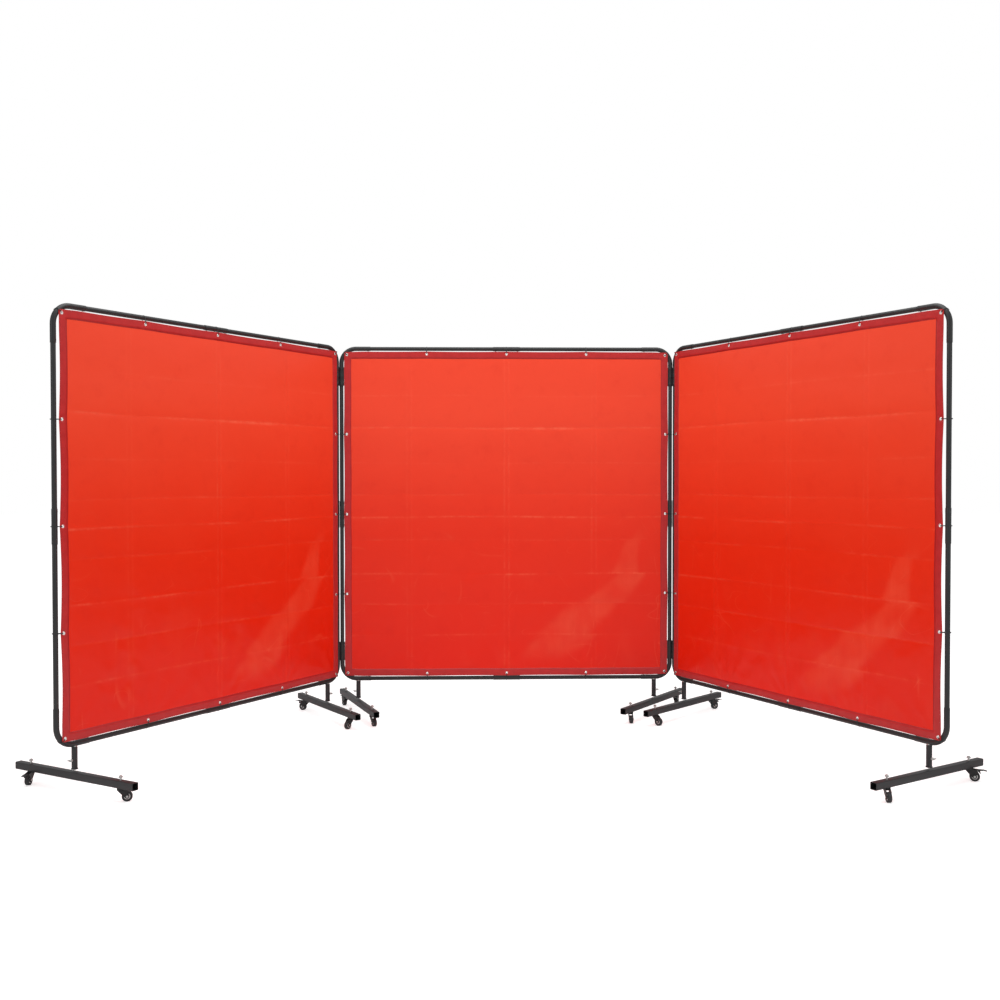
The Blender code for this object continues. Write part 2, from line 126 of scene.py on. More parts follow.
class CurtainSettings(bpy.types.PropertyGroup):
    """Sizes and colours of the vinyl curtains."""

    width: size("Width", "Width of the cut sheet", 1.829)
    height: size("Height", "Height of the cut sheet", 1.829)
    vinyl: size("Vinyl", "Thickness of the sheet", 0.0007)
    hem: size("Hem", "Width of the welded hem", 0.040)
    inset: size("Grommet inset", "Grommet's middle to the sheet's edge", 0.015)
    fold: size("Fold height", "How far a storage fold stands out", 0.0012)
    billow: size("Billow", "How far the sheet's middle stands forward", 0.004)
    # painted sheen: the top colour is lighter and more orange than the vinyl's own, standing in for reflected
    # light
    top: colour("Top", "Vinyl near the top, where it catches the light", (0.790, 0.060, 0.024))
    middle: colour("Middle", "Vinyl half way down", (0.735, 0.026, 0.006))
    bottom: colour("Bottom", "Vinyl near the floor", (0.720, 0.012, 0.001))
    edge: colour("Hem", "Doubled vinyl of the hem", (0.425, 0.016, 0.017))


class FootSettings(bpy.types.PropertyGroup):
    """Sizes and colours of the feet and casters."""

    bar: size("Bar", "Side of the square crossbar", 0.032)
    bar_wall: size("Bar wall", "Wall of the crossbar and the upright", 0.0015)
    upright: size("Upright", "Radius of the upright", 0.0125)
    wheel: size("Wheel", "Radius of a wheel", 0.022)
    tread: size("Tread", "Width of a wheel", 0.018)
    coat: colour("Coat", "Powder coat on the crossbars", (0.0185, 0.0170, 0.0190))
    plastic: colour("Caster", "Plastic of forks and pedals", (0.0080, 0.0080, 0.0090))
    rubber: colour("Tread colour", "Tread of the wheels", (0.030, 0.030, 0.032))


class StageSettings(bpy.types.PropertyGroup):
    """Light, floor and camera."""

    lens: bpy.props.FloatProperty(
        name="Lens", description="Focal length", default=39.817, unit="CAMERA"
    )
    sky: bpy.props.FloatProperty(
        name="Sky", description="Brightness of the light from all round", default=0.70, min=0
    )
    key: bpy.props.FloatProperty(
        name="Soft box", description="Power of the overhead soft box, in watts", default=125, min=0
    )
    floor: colour("Floor", "Colour of the floor", (0.93, 0.93, 0.93))


# ---------------------------------------------------------------------------------------- shapes
class Shape:
    """Points and the faces over them. Adding two shapes joins them."""

    def __init__(self, points, quads, polygons=()):
        self.points = np.asarray(points, float).reshape(-1, 3)
        self.quads = np.asarray(quads, int).reshape(-1, 4)
        self.polygons = [np.asarray(polygon, int) for polygon in polygons]

    def __add__(self, other):
        first = len(self.points)
        return Shape(
            np.vstack([self.points, other.points]),
            np.vstack([self.quads, other.quads + first]),
            self.polygons + [polygon + first for polygon in other.polygons],
        )

    def moved(self, matrix):
        """Each point p becomes M p."""
        matrix = np.array(matrix, float)
        points = self.points @ matrix[:3, :3].T + matrix[:3, 3]
        return Shape(points, self.quads, self.polygons)


def joined(shapes):
    shapes = list(shapes)
    return sum(shapes[1:], shapes[0])


def axes(origin, x, y, z=None):
    """The matrix whose columns are three axes and an origin. Without a third axis, z = x cross y."""
    x, y = np.asarray(x, float), np.asarray(y, float)
    matrix = np.eye(4)
    matrix[:3, :4] = np.stack([x, y, np.cross(x, y) if z is None else z, origin], 1)
    return matrix


def facing(origin, direction):
    """The matrix that turns z to a direction and moves the origin to a point."""
    direction = Vector(direction).normalized()
    turn = Vector((0, 0, 1)).rotation_difference(direction).to_matrix().to_4x4()
    return np.array(Matrix.Translation(Vector(origin)) @ turn)


def skin(rows, around=True, closed=False):
    """Quads between row i and i + 1 and column j and j + 1, outside where rows run along T and columns
    turn from N to B with N cross B = T. Around joins the last column to the first, closed the last row
    to the first. A tube that isn't closed gets an end face on each end."""
    count, across = rows.shape[:2]
    index = np.arange(count * across).reshape(count, across)
    ends = [index[0][::-1], index[-1]] if around and not closed else []
    if around:
        index = np.concatenate([index, index[:, :1]], 1)
    if closed:
        index = np.concatenate([index, index[:1]], 0)
    corners = [index[:-1, :-1], index[:-1, 1:], index[1:, 1:], index[1:, :-1]]
    return Shape(rows, np.stack(corners, -1), ends)


def round_section(radius, sides):
    """(r cos a, r sin a) for a from 0 to 2 pi."""
    turn = np.arange(sides) * 2 * PI / sides
    return radius * np.stack([np.cos(turn), np.sin(turn)], -1)


def square_section(half, corner, steps=4):
    """Four arcs of one radius, each about (half - corner) along both sides."""
    quarter = np.arange(4)[:, None]
    turn = (quarter + np.linspace(0, 1, steps + 1)) * PI / 2
    middle = (quarter + 0.5) * PI / 2 + 0 * turn
    reach = (half - corner) * math.sqrt(2)
    points = [reach * f(middle) + corner * f(turn) for f in (np.cos, np.sin)]
    return np.stack(points, -1).reshape(-1, 2)


def swept(path, section, side, closed=False):
    """A section carried along a path: point (i, j) = path_i + a_j N_i + b_j B_i, where B is the part of
    `side` that is square to the tangent T and N = B cross T. A section may have a row for each i."""
    path = np.asarray(path, float)
    step = np.roll(path, -1, 0) - np.roll(path, 1, 0) if closed else np.gradient(path, axis=0)
    tangent = step / np.linalg.norm(step, axis=1, keepdims=True)
    across = np.asarray(side) - (tangent @ side)[:, None] * tangent
    across /= np.linalg.norm(across, axis=1, keepdims=True)
    normal = np.cross(across, tangent)
    section = np.broadcast_to(section, (len(path), *section.shape[-2:]))
    rows = path[:, None] + section[..., :1] * normal[:, None] + section[..., 1:] * across[:, None]
    return skin(rows, closed=closed)


def straight(start, end):
    """A line's point and direction at a length s: start + s t, and t."""
    start, end = np.asarray(start, float), np.asarray(end, float)
    ahead = (end - start) / np.linalg.norm(end - start)
    return lambda s: (start + s[:, None] * ahead, np.broadcast_to(ahead, (len(s), 3)))


def around_bend(start, ahead, inward, leg, bend):
    """A line that runs `leg` ahead, turns a quarter of a circle inward and runs on. With the turn
    a = (s - leg) / bend held between 0 and pi / 2, the point is start + (min(s, leg) + bend sin a) ahead
    + (bend (1 - cos a) + the length past the bend) inward, and the direction cos a ahead + sin a inward."""
    def line(s):
        turn = np.clip((s - leg) / bend, 0, PI / 2)
        past = np.maximum(s - leg - bend * PI / 2, 0)
        forward = np.minimum(s, leg) + bend * np.sin(turn)
        sideways = bend * (1 - np.cos(turn)) + past
        points = start + forward[:, None] * ahead + sideways[:, None] * inward
        return points, np.cos(turn)[:, None] * ahead + np.sin(turn)[:, None] * inward
    return line


def bored(line, profile, side, sides=TUBE_SIDES):
    """A closed outline of (length, radius) turned about a line: point (i, j) = line(s_i)
    + r_i (cos a_j N_i + sin a_j B), with N = B cross T."""
    places, tangent = line(profile[:, 0])
    normal = np.cross(side, tangent)
    turn = round_section(1, sides)
    ring = turn[None, :, :1] * normal[:, None] + turn[None, :, 1:] * np.asarray(side)
    return skin(places[:, None] + profile[:, 1, None, None] * ring, closed=True)


def wall_profile(length, outer, inner, lip=0.0005, stops=()):
    """Outline of a tube's wall: up the outside with lips eased as quarter circles, s = lip (1 - cos t) and
    r = outer - lip + lip sin t, and back along the bore. Stops are (s, change of the outside radius)."""
    ease = np.linspace(0, PI / 2, 4)
    rise = np.stack([lip * (1 - np.cos(ease)), outer - lip + lip * np.sin(ease)], -1)
    stops = np.reshape(stops, (-1, 2))
    body = stops + (0, outer)
    bore = np.stack([stops[::-1, 0], np.full(len(stops), inner)], -1)
    fall = rise[::-1] * (-1, 1) + (length, 0)
    return np.vstack([rise, body, fall, [(length, inner)], bore, [(0, inner)]])


def turned(profile, sides=24, closed=False):
    """A profile of (r, z) turned about z: point (i, j) = (r_i cos a_j, r_i sin a_j, z_i). The profile
    climbs on the outside, and where it is closed it comes down inside."""
    profile = np.asarray(profile, float)
    turn = round_section(1, sides)
    heights = np.broadcast_to(profile[:, None, 1:], (len(profile), sides, 1))
    rows = np.concatenate([profile[:, None, :1] * turn[None], heights], -1)
    return skin(rows, closed=closed)


def rod(radius, start, end, ease=0.0006, sides=20):
    """A round bar between two points, its end edges eased by a cone of that length."""
    length = float(np.linalg.norm(np.subtract(end, start)))
    outline = [(radius - ease, 0), (radius, ease), (radius, length - ease), (radius - ease, length)]
    return turned(outline, sides).moved(facing(start, np.subtract(end, start)))


def eased(corners, cut, steps=5):
    """An outline whose corner p becomes the curve (1 - t)^2 a + 2 t (1 - t) p + t^2 b, with a and b a cut
    back and ahead of it on its two sides."""
    corners = np.asarray(corners, float)
    sides = [np.roll(corners, shift, 0) - corners for shift in (1, -1)]
    lengths = [np.linalg.norm(side, axis=1, keepdims=True) for side in sides]
    cut = np.minimum(np.reshape(cut, (-1, 1)) + 0 * lengths[0], 0.45 * np.minimum(*lengths))
    back, ahead = [corners + side / length * cut for side, length in zip(sides, lengths)]
    t = np.linspace(0, 1, steps)[None, :, None]
    curve = (1 - t) ** 2 * back[:, None] + 2 * t * (1 - t) * corners[:, None] + t * t * ahead[:, None]
    return curve.reshape(-1, 2)


def plate(outline, thickness, bevel=0.0003):
    """An outline that runs counter-clockwise, made a plate about z = 0. Its first and last rows are drawn
    in by the bevel along the outline's normals."""
    ahead = np.roll(outline, -1, 0) - np.roll(outline, 1, 0)
    ahead = ahead / np.maximum(np.linalg.norm(ahead, axis=1, keepdims=True), 1e-9)
    normal = np.stack([ahead[:, 1], -ahead[:, 0]], -1)
    half = thickness / 2
    levels = ((bevel, -half), (0, bevel - half), (0, half - bevel), (bevel, half))
    rows = [np.column_stack([outline - inset * normal, np.full(len(outline), z)]) for inset, z in levels]
    return skin(np.array(rows))


def arc(centre, radius, first, last, steps=10):
    """Points centre + r (cos a, sin a) from a first angle to a last one, in degrees."""
    turn = np.radians(np.linspace(first, last, steps))
    return np.asarray(centre) + radius * np.stack([np.cos(turn), np.sin(turn)], -1)


def hex_nut(across, height, bore, sides=48):
    """A nut: radius min(f / cos(a folded into a sixth), c(z)) with f half the width over its flats and
    c(z) the chamfer's cone, and a plain bore."""
    turn = np.arange(sides) * 2 * PI / sides
    folded = (turn + PI / 6) % (PI / 3) - PI / 6
    flat = across / 2 / np.cos(folded)
    levels = ((0, 1.03), (height * 0.12, 2), (height * 0.88, 2), (height, 1.03))
    outside = [np.minimum(flat, across / 2 * limit) for _, limit in levels]
    radii = np.array(outside + [np.full(sides, bore)] * 2)
    heights = np.array([z for z, _ in levels] + [height, 0])
    rows = np.stack([radii * np.cos(turn), radii * np.sin(turn), np.repeat(heights[:, None], sides, 1)], -1)
    return skin(rows, closed=True)


def piece(name, shape, finish, body, replaced=(), slot=None, sharp=SHARP_ANGLE):
    """A mesh object that rides on a body and stands for CAD nodes."""
    mesh = bpy.data.meshes.new(name)
    faces = shape.quads.tolist() + [polygon.tolist() for polygon in shape.polygons]
    mesh.from_pydata(shape.points.tolist(), [], faces)
    mesh.materials.append(finish)
    mesh.shade_smooth()
    mesh.set_sharp_from_angle(angle=sharp)
    obj = bpy.data.objects.new(name, mesh)
    bpy.context.scene.collection.objects.link(obj)
    if replaced:
        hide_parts(*replaced)
    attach(obj, body)
    return obj


# ------------------------------------------------------------------------------------- materials
class Amount:
    """A number that varies over a surface. Arithmetic on it adds Math nodes."""

    def __init__(self, paint, socket):
        self.paint, self.socket = paint, socket

    def maths(self, operation, *others, flip=False):
        values = [self, *others][:: -1 if flip else 1]
        made = self.paint.node("Math", {"operation": operation}, dict(enumerate(values)))
        return Amount(self.paint, made.outputs[0])

    def __add__(self, other):
        return self.maths("ADD", other)

    def __sub__(self, other):
        return self.maths("SUBTRACT", other)

    def __rsub__(self, other):
        return self.maths("SUBTRACT", other, flip=True)

    def __mul__(self, other):
        return self.maths("MULTIPLY", other)

    __radd__, __rmul__ = __add__, __mul__


class Paint:
    """A material's nodes, added through one method."""

    def __init__(self, name, **constants):
        self.material = bpy.data.materials.new(name)
        self.material.use_nodes = True
        self.tree = self.material.node_tree
        self.shader = self.tree.nodes["Principled BSDF"]
        for key, value in constants.items():
            self.shader.inputs[key.replace("_", " ")].default_value = value

    def node(self, kind, settings=None, values=None):
        """A node of a type, with its settings set first and then its sockets' values or links."""
        made = self.tree.nodes.new("ShaderNode" + kind)
        for key, value in (settings or {}).items():
            if key == "stops":
                while len(made.color_ramp.elements) < len(value):
                    made.color_ramp.elements.new(1)
                for stop, (place, shade) in zip(made.color_ramp.elements, value):
                    stop.position, stop.color = place, (*shade, 1)
            else:
                setattr(made, key, value)
        for key, value in (values or {}).items():
            self.feed(made.inputs[key], value)
        return made

    def feed(self, socket, value):
        """Put a number, a colour, an Amount or another socket on a socket."""
        value = value.socket if isinstance(value, Amount) else value
        if isinstance(value, bpy.types.NodeSocket):
            self.tree.links.new(value, socket)
        else:
            socket.default_value = value

    def amount(self, socket):
        return Amount(self, socket)

    def place(self, kind="Object"):
        return self.node("TexCoord").outputs[kind]

    def noise(self, scale, detail=2.0, rough=0.5, stretch=None):
        """Noise from 0 to 1 on object coordinates, which may be stretched first."""
        place = self.place()
        if stretch:
            place = self.node("Mapping", values={"Vector": place, "Scale": stretch}).outputs[0]
        values = {"Vector": place, "Scale": scale, "Detail": detail, "Roughness": rough}
        return self.amount(self.node("TexNoise", values=values).outputs[0])

    def between(self, value, low, high):
        """0 below low, 1 above high and a smooth step between them."""
        settings = {"interpolation_type": "SMOOTHSTEP"}
        made = self.node("MapRange", settings, {"Value": value, "From Min": low, "From Max": high})
        return self.amount(made.outputs[0])

    def mix(self, first, second, share):
        """The colour (1 - share) first + share second."""
        first, second = [(*c, 1) if isinstance(c, tuple) else c for c in (first, second)]
        made = self.node("Mix", {"data_type": "RGBA"}, {0: share, 6: first, 7: second})
        return made.outputs[2]

    def finish(self, base, roughness, height=None, depth=0.0003, strength=0.4, **others):
        """Feed the shader's colour, roughness and bump, and hand back the material."""
        self.feed(self.shader.inputs["Base Color"], base)
        self.feed(self.shader.inputs["Roughness"], roughness)
        if height is not None:
            bump = self.node("Bump", values={"Height": height, "Distance": depth, "Strength": strength})
            self.feed(self.shader.inputs["Normal"], bump.outputs[0])
        for key, value in others.items():
            self.feed(self.shader.inputs[key.replace("_", " ")], value)
        return self.material


def shade(base, factor):
    return tuple(channel * factor for channel in base)


def powder_coat(name, base, rough=0.40):
    """Textured powder coat: orange peel about a millimetre across, a fine grain that breaks up the gloss,
    and a slow drift in how thick the coat lies."""
    paint = Paint(name, Specular_IOR_Level=0.42)
    drift, peel, grain = paint.noise(6, 3), paint.noise(900, 2), paint.noise(3800, 1)
    rubbed = paint.between(paint.noise(55, 5, 0.62), 0.66, 0.80)
    tone = paint.mix(shade(base, 0.82), shade(base, 1.25), drift)
    tone = paint.mix(tone, shade(base, 1.9), rubbed * 0.35)
    rough = drift * 0.10 + grain * 0.10 + rubbed * -0.08 + (rough - 0.08)
    return paint.finish(tone, rough, peel * 0.75 + grain * 0.25, 0.00018, 0.35)


def moulded_plastic(name, base, rough=0.42, texture=1500):
    """Moulded plastic with a fine spark texture and a slightly uneven gloss."""
    paint = Paint(name, Specular_IOR_Level=0.40)
    drift, spark = paint.noise(38, 3), paint.noise(texture, 2, 0.6)
    tone = paint.mix(shade(base, 0.80), shade(base, 1.35), drift)
    return paint.finish(tone, drift * 0.14 + spark * 0.08 + (rough - 0.10), spark, 0.00012, 0.30)


def plated_metal(name, base, rough=0.26):
    """Zinc or nickel plate: drawn lines from the tooling, a cloudy bloom, and dull spots."""
    paint = Paint(name, Metallic=1.0)
    bloom, lines = paint.noise(120, 4), paint.noise(700, 3, 0.6, (1, 1, 6))
    dull = paint.between(paint.noise(320, 4), 0.60, 0.72)
    tone = paint.mix(shade(base, 0.86), shade(base, 1.08), bloom)
    tone = paint.mix(tone, shade(base, 0.70), dull * 0.4)
    rough = bloom * 0.12 + dull * 0.18 + lines * 0.08 + (rough - 0.08)
    return paint.finish(tone, rough, lines, 0.00006, 0.3)


def tread_rubber(name, base):
    """Grey rubber with a dry, dusty band where it rolls and fine pitting."""
    paint = Paint(name, Specular_IOR_Level=0.30)
    pits, dust = paint.noise(2200, 2), paint.noise(90, 4, 0.6)
    tone = paint.mix(base, shade(base, 2.4), paint.between(dust, 0.45, 0.75) * 0.5)
    return paint.finish(tone, dust * 0.15 + 0.58, pits, 0.00015, 0.4)


def nylon(name, base):
    """Black nylon strap with fine ladder teeth across it."""
    paint = Paint(name, Specular_IOR_Level=0.45)
    grain, teeth = paint.noise(1400, 2), paint.noise(1000, 1, 0.4, (1, 1, 2))
    tone = paint.mix(shade(base, 0.8), shade(base, 1.4), grain)
    return paint.finish(tone, grain * 0.1 + 0.36, teeth, 0.0002, 0.4)


def edge_distance(paint, settings):
    """Distance in metres to the nearest edge of the sheet, from the piece's own UV map."""
    split = paint.node("SeparateXYZ", values={0: paint.place("UV")})
    across, up = [paint.amount(split.outputs[i]) for i in range(2)]
    beside = across.maths("MINIMUM", 1 - across) * settings.width
    above = up.maths("MINIMUM", 1 - up) * settings.height
    return beside.maths("MINIMUM", above), across, up


def vinyl(settings):
    """Orange-red vinyl, painted lighter and more orange towards the top as a painted sheen; the storage folds are
    whitened along their lines, partly the vinyl's own stress whitening and partly a painted highlight, with one
    painted glint; a painted reflection band and fine wrinkles with painted highlights cross the lower part; the
    surface has a fine press grain and shallow drag marks."""
    paint = Paint("orange_vinyl", Specular_IOR_Level=0.24)
    _, _, up = edge_distance(paint, settings)
    waver = paint.noise(3.1, 3)
    place = up + (waver - 0.5) * 0.10
    # painted sheen: this ramp lightens the vinyl towards the top, standing in for the light it reflects there
    ramp = paint.node("ValToRGB", {"stops": (
        (0.05, tuple(settings.bottom)), (0.42, tuple(settings.middle)), (0.80, tuple(settings.top)),
    )}, {0: place})
    # the first attribute holds fold whitening, partly painted highlight, with a painted glint; the second holds a
    # painted reflection band
    fold, haze = [
        paint.amount(paint.node("Attribute", {"attribute_name": name}).outputs["Fac"])
        for name in ("crease", "haze")
    ]
    broken = paint.between(paint.noise(26, 3, 0.6), 0.38, 0.66)
    wander = (paint.noise(3.6, 0, 0.0, (1.0, 1.0, 0.6)) - 0.5).maths("ABSOLUTE")
    strays = (paint.noise(6.5, 0, 0.0, (0.8, 1.0, 1.7)) - 0.47).maths("ABSOLUTE")
    lower = 1 - paint.between(up, 0.20, 0.62)
    # wrinkle mask: feeds the bump and, in the colour below, a painted highlight along each wrinkle
    wrinkle = (1 - paint.between(wander, 0.0, 0.0100)) + (1 - paint.between(strays, 0.0, 0.0120))
    wrinkle = wrinkle * (0.08 + lower * 0.92) * paint.between(paint.noise(7, 1), 0.50, 0.68)
    streak = paint.noise(34, 4, 0.6, (1, 1, 0.16))
    # fold lines lightened: partly the vinyl's own stress whitening, partly a painted highlight where light catches
    # the ridges
    tone = paint.mix(ramp.outputs[0], (0.92, 0.20, 0.10), fold * (0.08 + broken * 0.26))
    # painted reflection: the pale band is lightened here, and the wrinkles get a painted highlight
    tone = paint.mix(tone, (0.95, 0.22, 0.11), haze * (0.10 + streak * 0.16) + wrinkle * 0.10)
    cloud = paint.noise(11, 4, 0.6)
    tone = paint.mix(tone, (0.56, 0.006, 0.001), paint.between(cloud, 0.50, 0.80) * 0.13)
    grain, drag = paint.noise(1600, 2), paint.noise(70, 4, 0.55, (0.5, 0.5, 2))
    rough = cloud * 0.10 + streak * 0.08 + fold * 0.12 + 0.22
    return paint.finish(tone, rough, grain * 0.08 + drag * 0.60 + wrinkle * 0.6, 0.0008, 0.40)


def hem_vinyl(settings):
    """Doubled vinyl, darker than the sheet, with two heat-welded lines along it and a knurled weld."""
    paint = Paint("hem_vinyl", Specular_IOR_Level=0.30)
    distance, across, up = edge_distance(paint, settings)
    inner = 1 - paint.between((distance - (settings.hem - 0.005)).maths("ABSOLUTE"), 0.0, 0.0016)
    outer = 1 - paint.between((distance - 0.005).maths("ABSOLUTE"), 0.0, 0.0012)
    seam = inner.maths("MAXIMUM", outer)
    knurl = ((across + up) * (1800.0)).maths("SINE") * ((across - up) * 1800.0).maths("SINE")
    blotch, grain = paint.noise(24, 4, 0.6), paint.noise(1500, 2)
    edge = tuple(settings.edge)
    tone = paint.mix(shade(edge, 0.86), (edge[0] * 1.22, edge[1] * 1.6, edge[2] * 1.5), blotch)
    tone = paint.mix(tone, shade(edge, 0.55), seam * 0.6)
    height = 0.5 + knurl * 0.10 + grain * 0.1 - seam * 0.5
    return paint.finish(tone, blotch * 0.12 + seam * 0.10 + 0.30, height, 0.0006, 0.5)


def studio_floor(base):
    """A plain pale floor with a faint mottle, lifted for the camera so that it meets the white sky."""
    paint = Paint("pale_floor", Specular_IOR_Level=0.10)
    mottle = paint.noise(1.7, 3)
    paint.finish(paint.mix(shade(base, 0.995), shade(base, 1.005), mottle), mottle * 0.05 + 0.80)
    glow = paint.node("Emission", values={"Strength": 0.50})
    both = paint.node("AddShader", values={0: paint.shader.outputs[0], 1: glow.outputs[0]})
    seen = paint.node("LightPath").outputs["Is Camera Ray"]
    mixed = paint.node("MixShader", values={0: seen, 1: paint.shader.outputs[0], 2: both.outputs[0]})
    paint.feed(paint.tree.nodes["Material Output"].inputs[0], mixed.outputs[0])
    return paint.material


FINISHES = {}


def finish(name, make, *values):
    """A material that is made once and shared."""
    if name not in FINISHES:
        FINISHES[name] = make(name, *values)
    return FINISHES[name]


def zinc():
    return finish("zinc_plate", plated_metal, (0.50, 0.50, 0.49), 0.34)


def bright_ring():
    return finish("bright_ring", plated_metal, (0.80, 0.80, 0.79), 0.42)


def nickel():
    return finish("nickel_plate", plated_metal, (0.80, 0.79, 0.77), 0.20)


# ---------------------------------------------------------------------------------- the panels
class Panel:
    """Where a panel stands: its origin on the floor, its axes, and the lines of its tubes."""

    def __init__(self, name):
        posts = [np.array(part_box(post)) for post in PANELS[name]]
        left, right = [post.mean(0) * (1, 1, 0) for post in posts]
        centre_post = np.array(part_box(PANELS["centre"][0]))
        along = (right - left) / np.linalg.norm(right - left)
        self.name, self.body = name, f"{name}_panel"
        self.matrix = axes((left + right) / 2, along, np.cross(Z, along))
        self.half = np.linalg.norm(right - left) / 2
        self.sleeve = (centre_post[1] - centre_post[0])[0] / 2
        self.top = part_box(f"{name}_top_rail")[1].z - self.sleeve
        self.bottom = posts[0][0][2] - (self.top - posts[0][1][2])
        curtain = [corner.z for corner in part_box(f"{name}_curtain")]
        self.curtain_low, self.curtain_high = curtain
        self.curtain_depth = np.array(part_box("centre_curtain")).mean(0)[1] - centre_post.mean(0)[1]
        self.nodes = [f"{name}_top_rail", f"{name}_bottom_rail", *PANELS[name]]

    def piece(self, kind, shape, material, **others):
        return piece(f"{self.name}_{kind}", shape.moved(self.matrix), material, self.body, **others)


def elbow(panel, settings, side, level):
    """A quarter bend between two legs, at the corner on one side (-1, 1) and level (-1, 1)."""
    arm = settings.straight + settings.bend
    length = 2 * settings.straight + settings.bend * PI / 2
    height = panel.top if level > 0 else panel.bottom
    start = np.array((side * panel.half, 0, height - level * arm))
    line = around_bend(start, level * Z, -side * X, settings.straight, settings.bend)
    stations = settings.straight + np.linspace(0, settings.bend * PI / 2, 15)
    stops = np.column_stack([stations, np.zeros(len(stations))])
    inner = panel.sleeve - settings.wall
    return bored(line, wall_profile(length, panel.sleeve, inner, stops=stops), Y)


def side_lines(panel):
    """The four sides of a panel: middle, direction along the tube, half length and the way inwards."""
    middle = (panel.top + panel.bottom) / 2
    tall = (panel.top - panel.bottom) / 2
    return (
        (np.array((0, 0, panel.top)), X, panel.half, -Z),
        (np.array((0, 0, panel.bottom)), X, panel.half, Z),
        (np.array((-panel.half, 0, middle)), Z, tall, X),
        (np.array((panel.half, 0, middle)), Z, tall, -X),
    )


def screw(place, direction):
    """A small pan-head screw with a hexagonal recess on the side of a sleeve."""
    outline = [
        (0.0040, 0), (0.0042, 0.0004), (0.0039, 0.0013), (0.0030, 0.0019), (0.0016, 0.0021), (0.0014, 0.0008),
    ]
    return turned(outline, 18).moved(facing(place, direction))


class SCREEN_OT_tube_frames(bpy.types.Operator):
    """Build the elbows, tubes, couplers, screws and stubs of the three frames"""

    bl_idname = "screen.tube_frames"
    bl_label = "Tube Frames"

    def execute(self, context):
        settings = context.scene.screen_frame
        coat = finish("powder_coat", powder_coat, tuple(settings.coat))
        for name in PANELS:
            self.build(Panel(name), settings, coat)
        return {"FINISHED"}

    def build(self, panel, settings, coat):
        arm = settings.straight + settings.bend
        half_coupler = settings.coupler / 2
        inner = settings.tube - settings.wall
        tubes, couplers, screws = [], [], []
        for middle, ahead, reach, inward in side_lines(panel):
            for way in (-1, 1):
                spans = (half_coupler - settings.plug, reach - arm + settings.plug)
                ends = [middle + way * ahead * span for span in spans]
                length = np.linalg.norm(ends[1] - ends[0])
                tubes.append(bored(straight(*ends), wall_profile(length, settings.tube, inner), Y))
                for place in (half_coupler - SCREW_INSET, reach - arm + SCREW_INSET):
                    seat = middle + way * ahead * place + inward * (panel.sleeve - 0.0002)
                    screws.append(screw(seat, inward))
            crimp = half_coupler + np.array((-0.004, -0.0025, 0, 0.0025, 0.004))
            stops = np.column_stack([crimp, (0, -0.00025, -0.0004, -0.00025, 0)])
            bore = panel.sleeve - settings.wall
            profile = wall_profile(settings.coupler, panel.sleeve, bore, stops=stops)
            start = middle - ahead * half_coupler
            couplers.append(bored(straight(start, start + ahead), profile, Y))
        corners = [elbow(panel, settings, side, level) for side in (-1, 1) for level in (-1, 1)]
        for kind, shapes in (("elbows", corners), ("tubes", tubes), ("couplers", couplers)):
            panel.piece(f"frame_{kind}", joined(shapes), coat, replaced=panel.nodes, slot="frame_steel")
        panel.piece("frame_screws", joined(screws), zinc(), replaced=panel.nodes)
        panel.piece("foot_stubs", self.stubs(panel), zinc(), replaced=[f"{panel.name}_bottom_rail"])

    def stubs(self, panel):
        """Plated pegs under the bottom rail, each with a welded collar where it meets the tube."""
        feet = [foot for foot in FEET if foot.startswith(panel.name)]
        inverse = np.linalg.inv(panel.matrix)
        shapes = []
        low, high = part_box(f"{panel.name}_bottom_rail")[0].z, panel.bottom - panel.sleeve
        for foot in feet:
            joint = JOINTS[f"{foot}_foot_swivel"]["pos_m"]
            x, y, _ = (inverse @ (joint[0], joint[1], 0, 1))[:3]
            outline = [(0.0078, low), (0.0095, low + 0.002), (0.0095, high - 0.0015)]
            outline += [(0.0104, high - 0.0008), (0.0112, high + 0.0006), (0.0098, high + 0.004)]
            shapes.append(turned(outline, 24).moved(Matrix.Translation((x, y, 0))))
        return joined(shapes)


# ---------------------------------------------------------------------------------- the curtains
def smooth_step(value, low, high):
    """3 t^2 - 2 t^3 with t = (value - low) / (high - low) held between 0 and 1."""
    t = np.clip((value - low) / (high - low), 0, 1)
    return t * t * (3 - 2 * t)


def ripples(u, s, scale, seed, waves=7):
    """A quiet random surface from -1 to 1: the mean of sines whose directions step round the circle by
    the golden angle, each bent a little by the one before."""
    total, bend = 0 * u, 0 * u
    for i in range(waves):
        turn = seed + i * GOLDEN_ANGLE
        pitch = scale * (1 + 0.37 * ((i * GOLDEN_SHARE + seed) % 1))
        along = u * math.cos(turn) + s * math.sin(turn)
        bend = np.sin(2 * PI * pitch * along + seed * 5 + i + 1.1 * bend)
        total = total + bend
    return total / waves ** 0.5 / 1.4


def sheet_lines(length, places):
    """Grid lines along one side of a sheet: even steps, closer beside the given places."""
    fine = np.array(sorted({round(float(p), 6) for p in places if 0.0005 < p < length - 0.0005}))
    fine = fine[np.concatenate([[True], np.diff(fine) > 0.0012])]
    plain = np.linspace(0, length, SHEET_STEPS)
    far = np.abs(plain[:, None] - fine[None]).min(1) > 0.004
    far[[0, -1]] = True
    return np.sort(np.concatenate([plain[far], fine]))


def grommet_places(length, inset):
    return inset + np.arange(GROMMETS_PER_SIDE) * (length - 2 * inset) / (GROMMETS_PER_SIDE - 1)


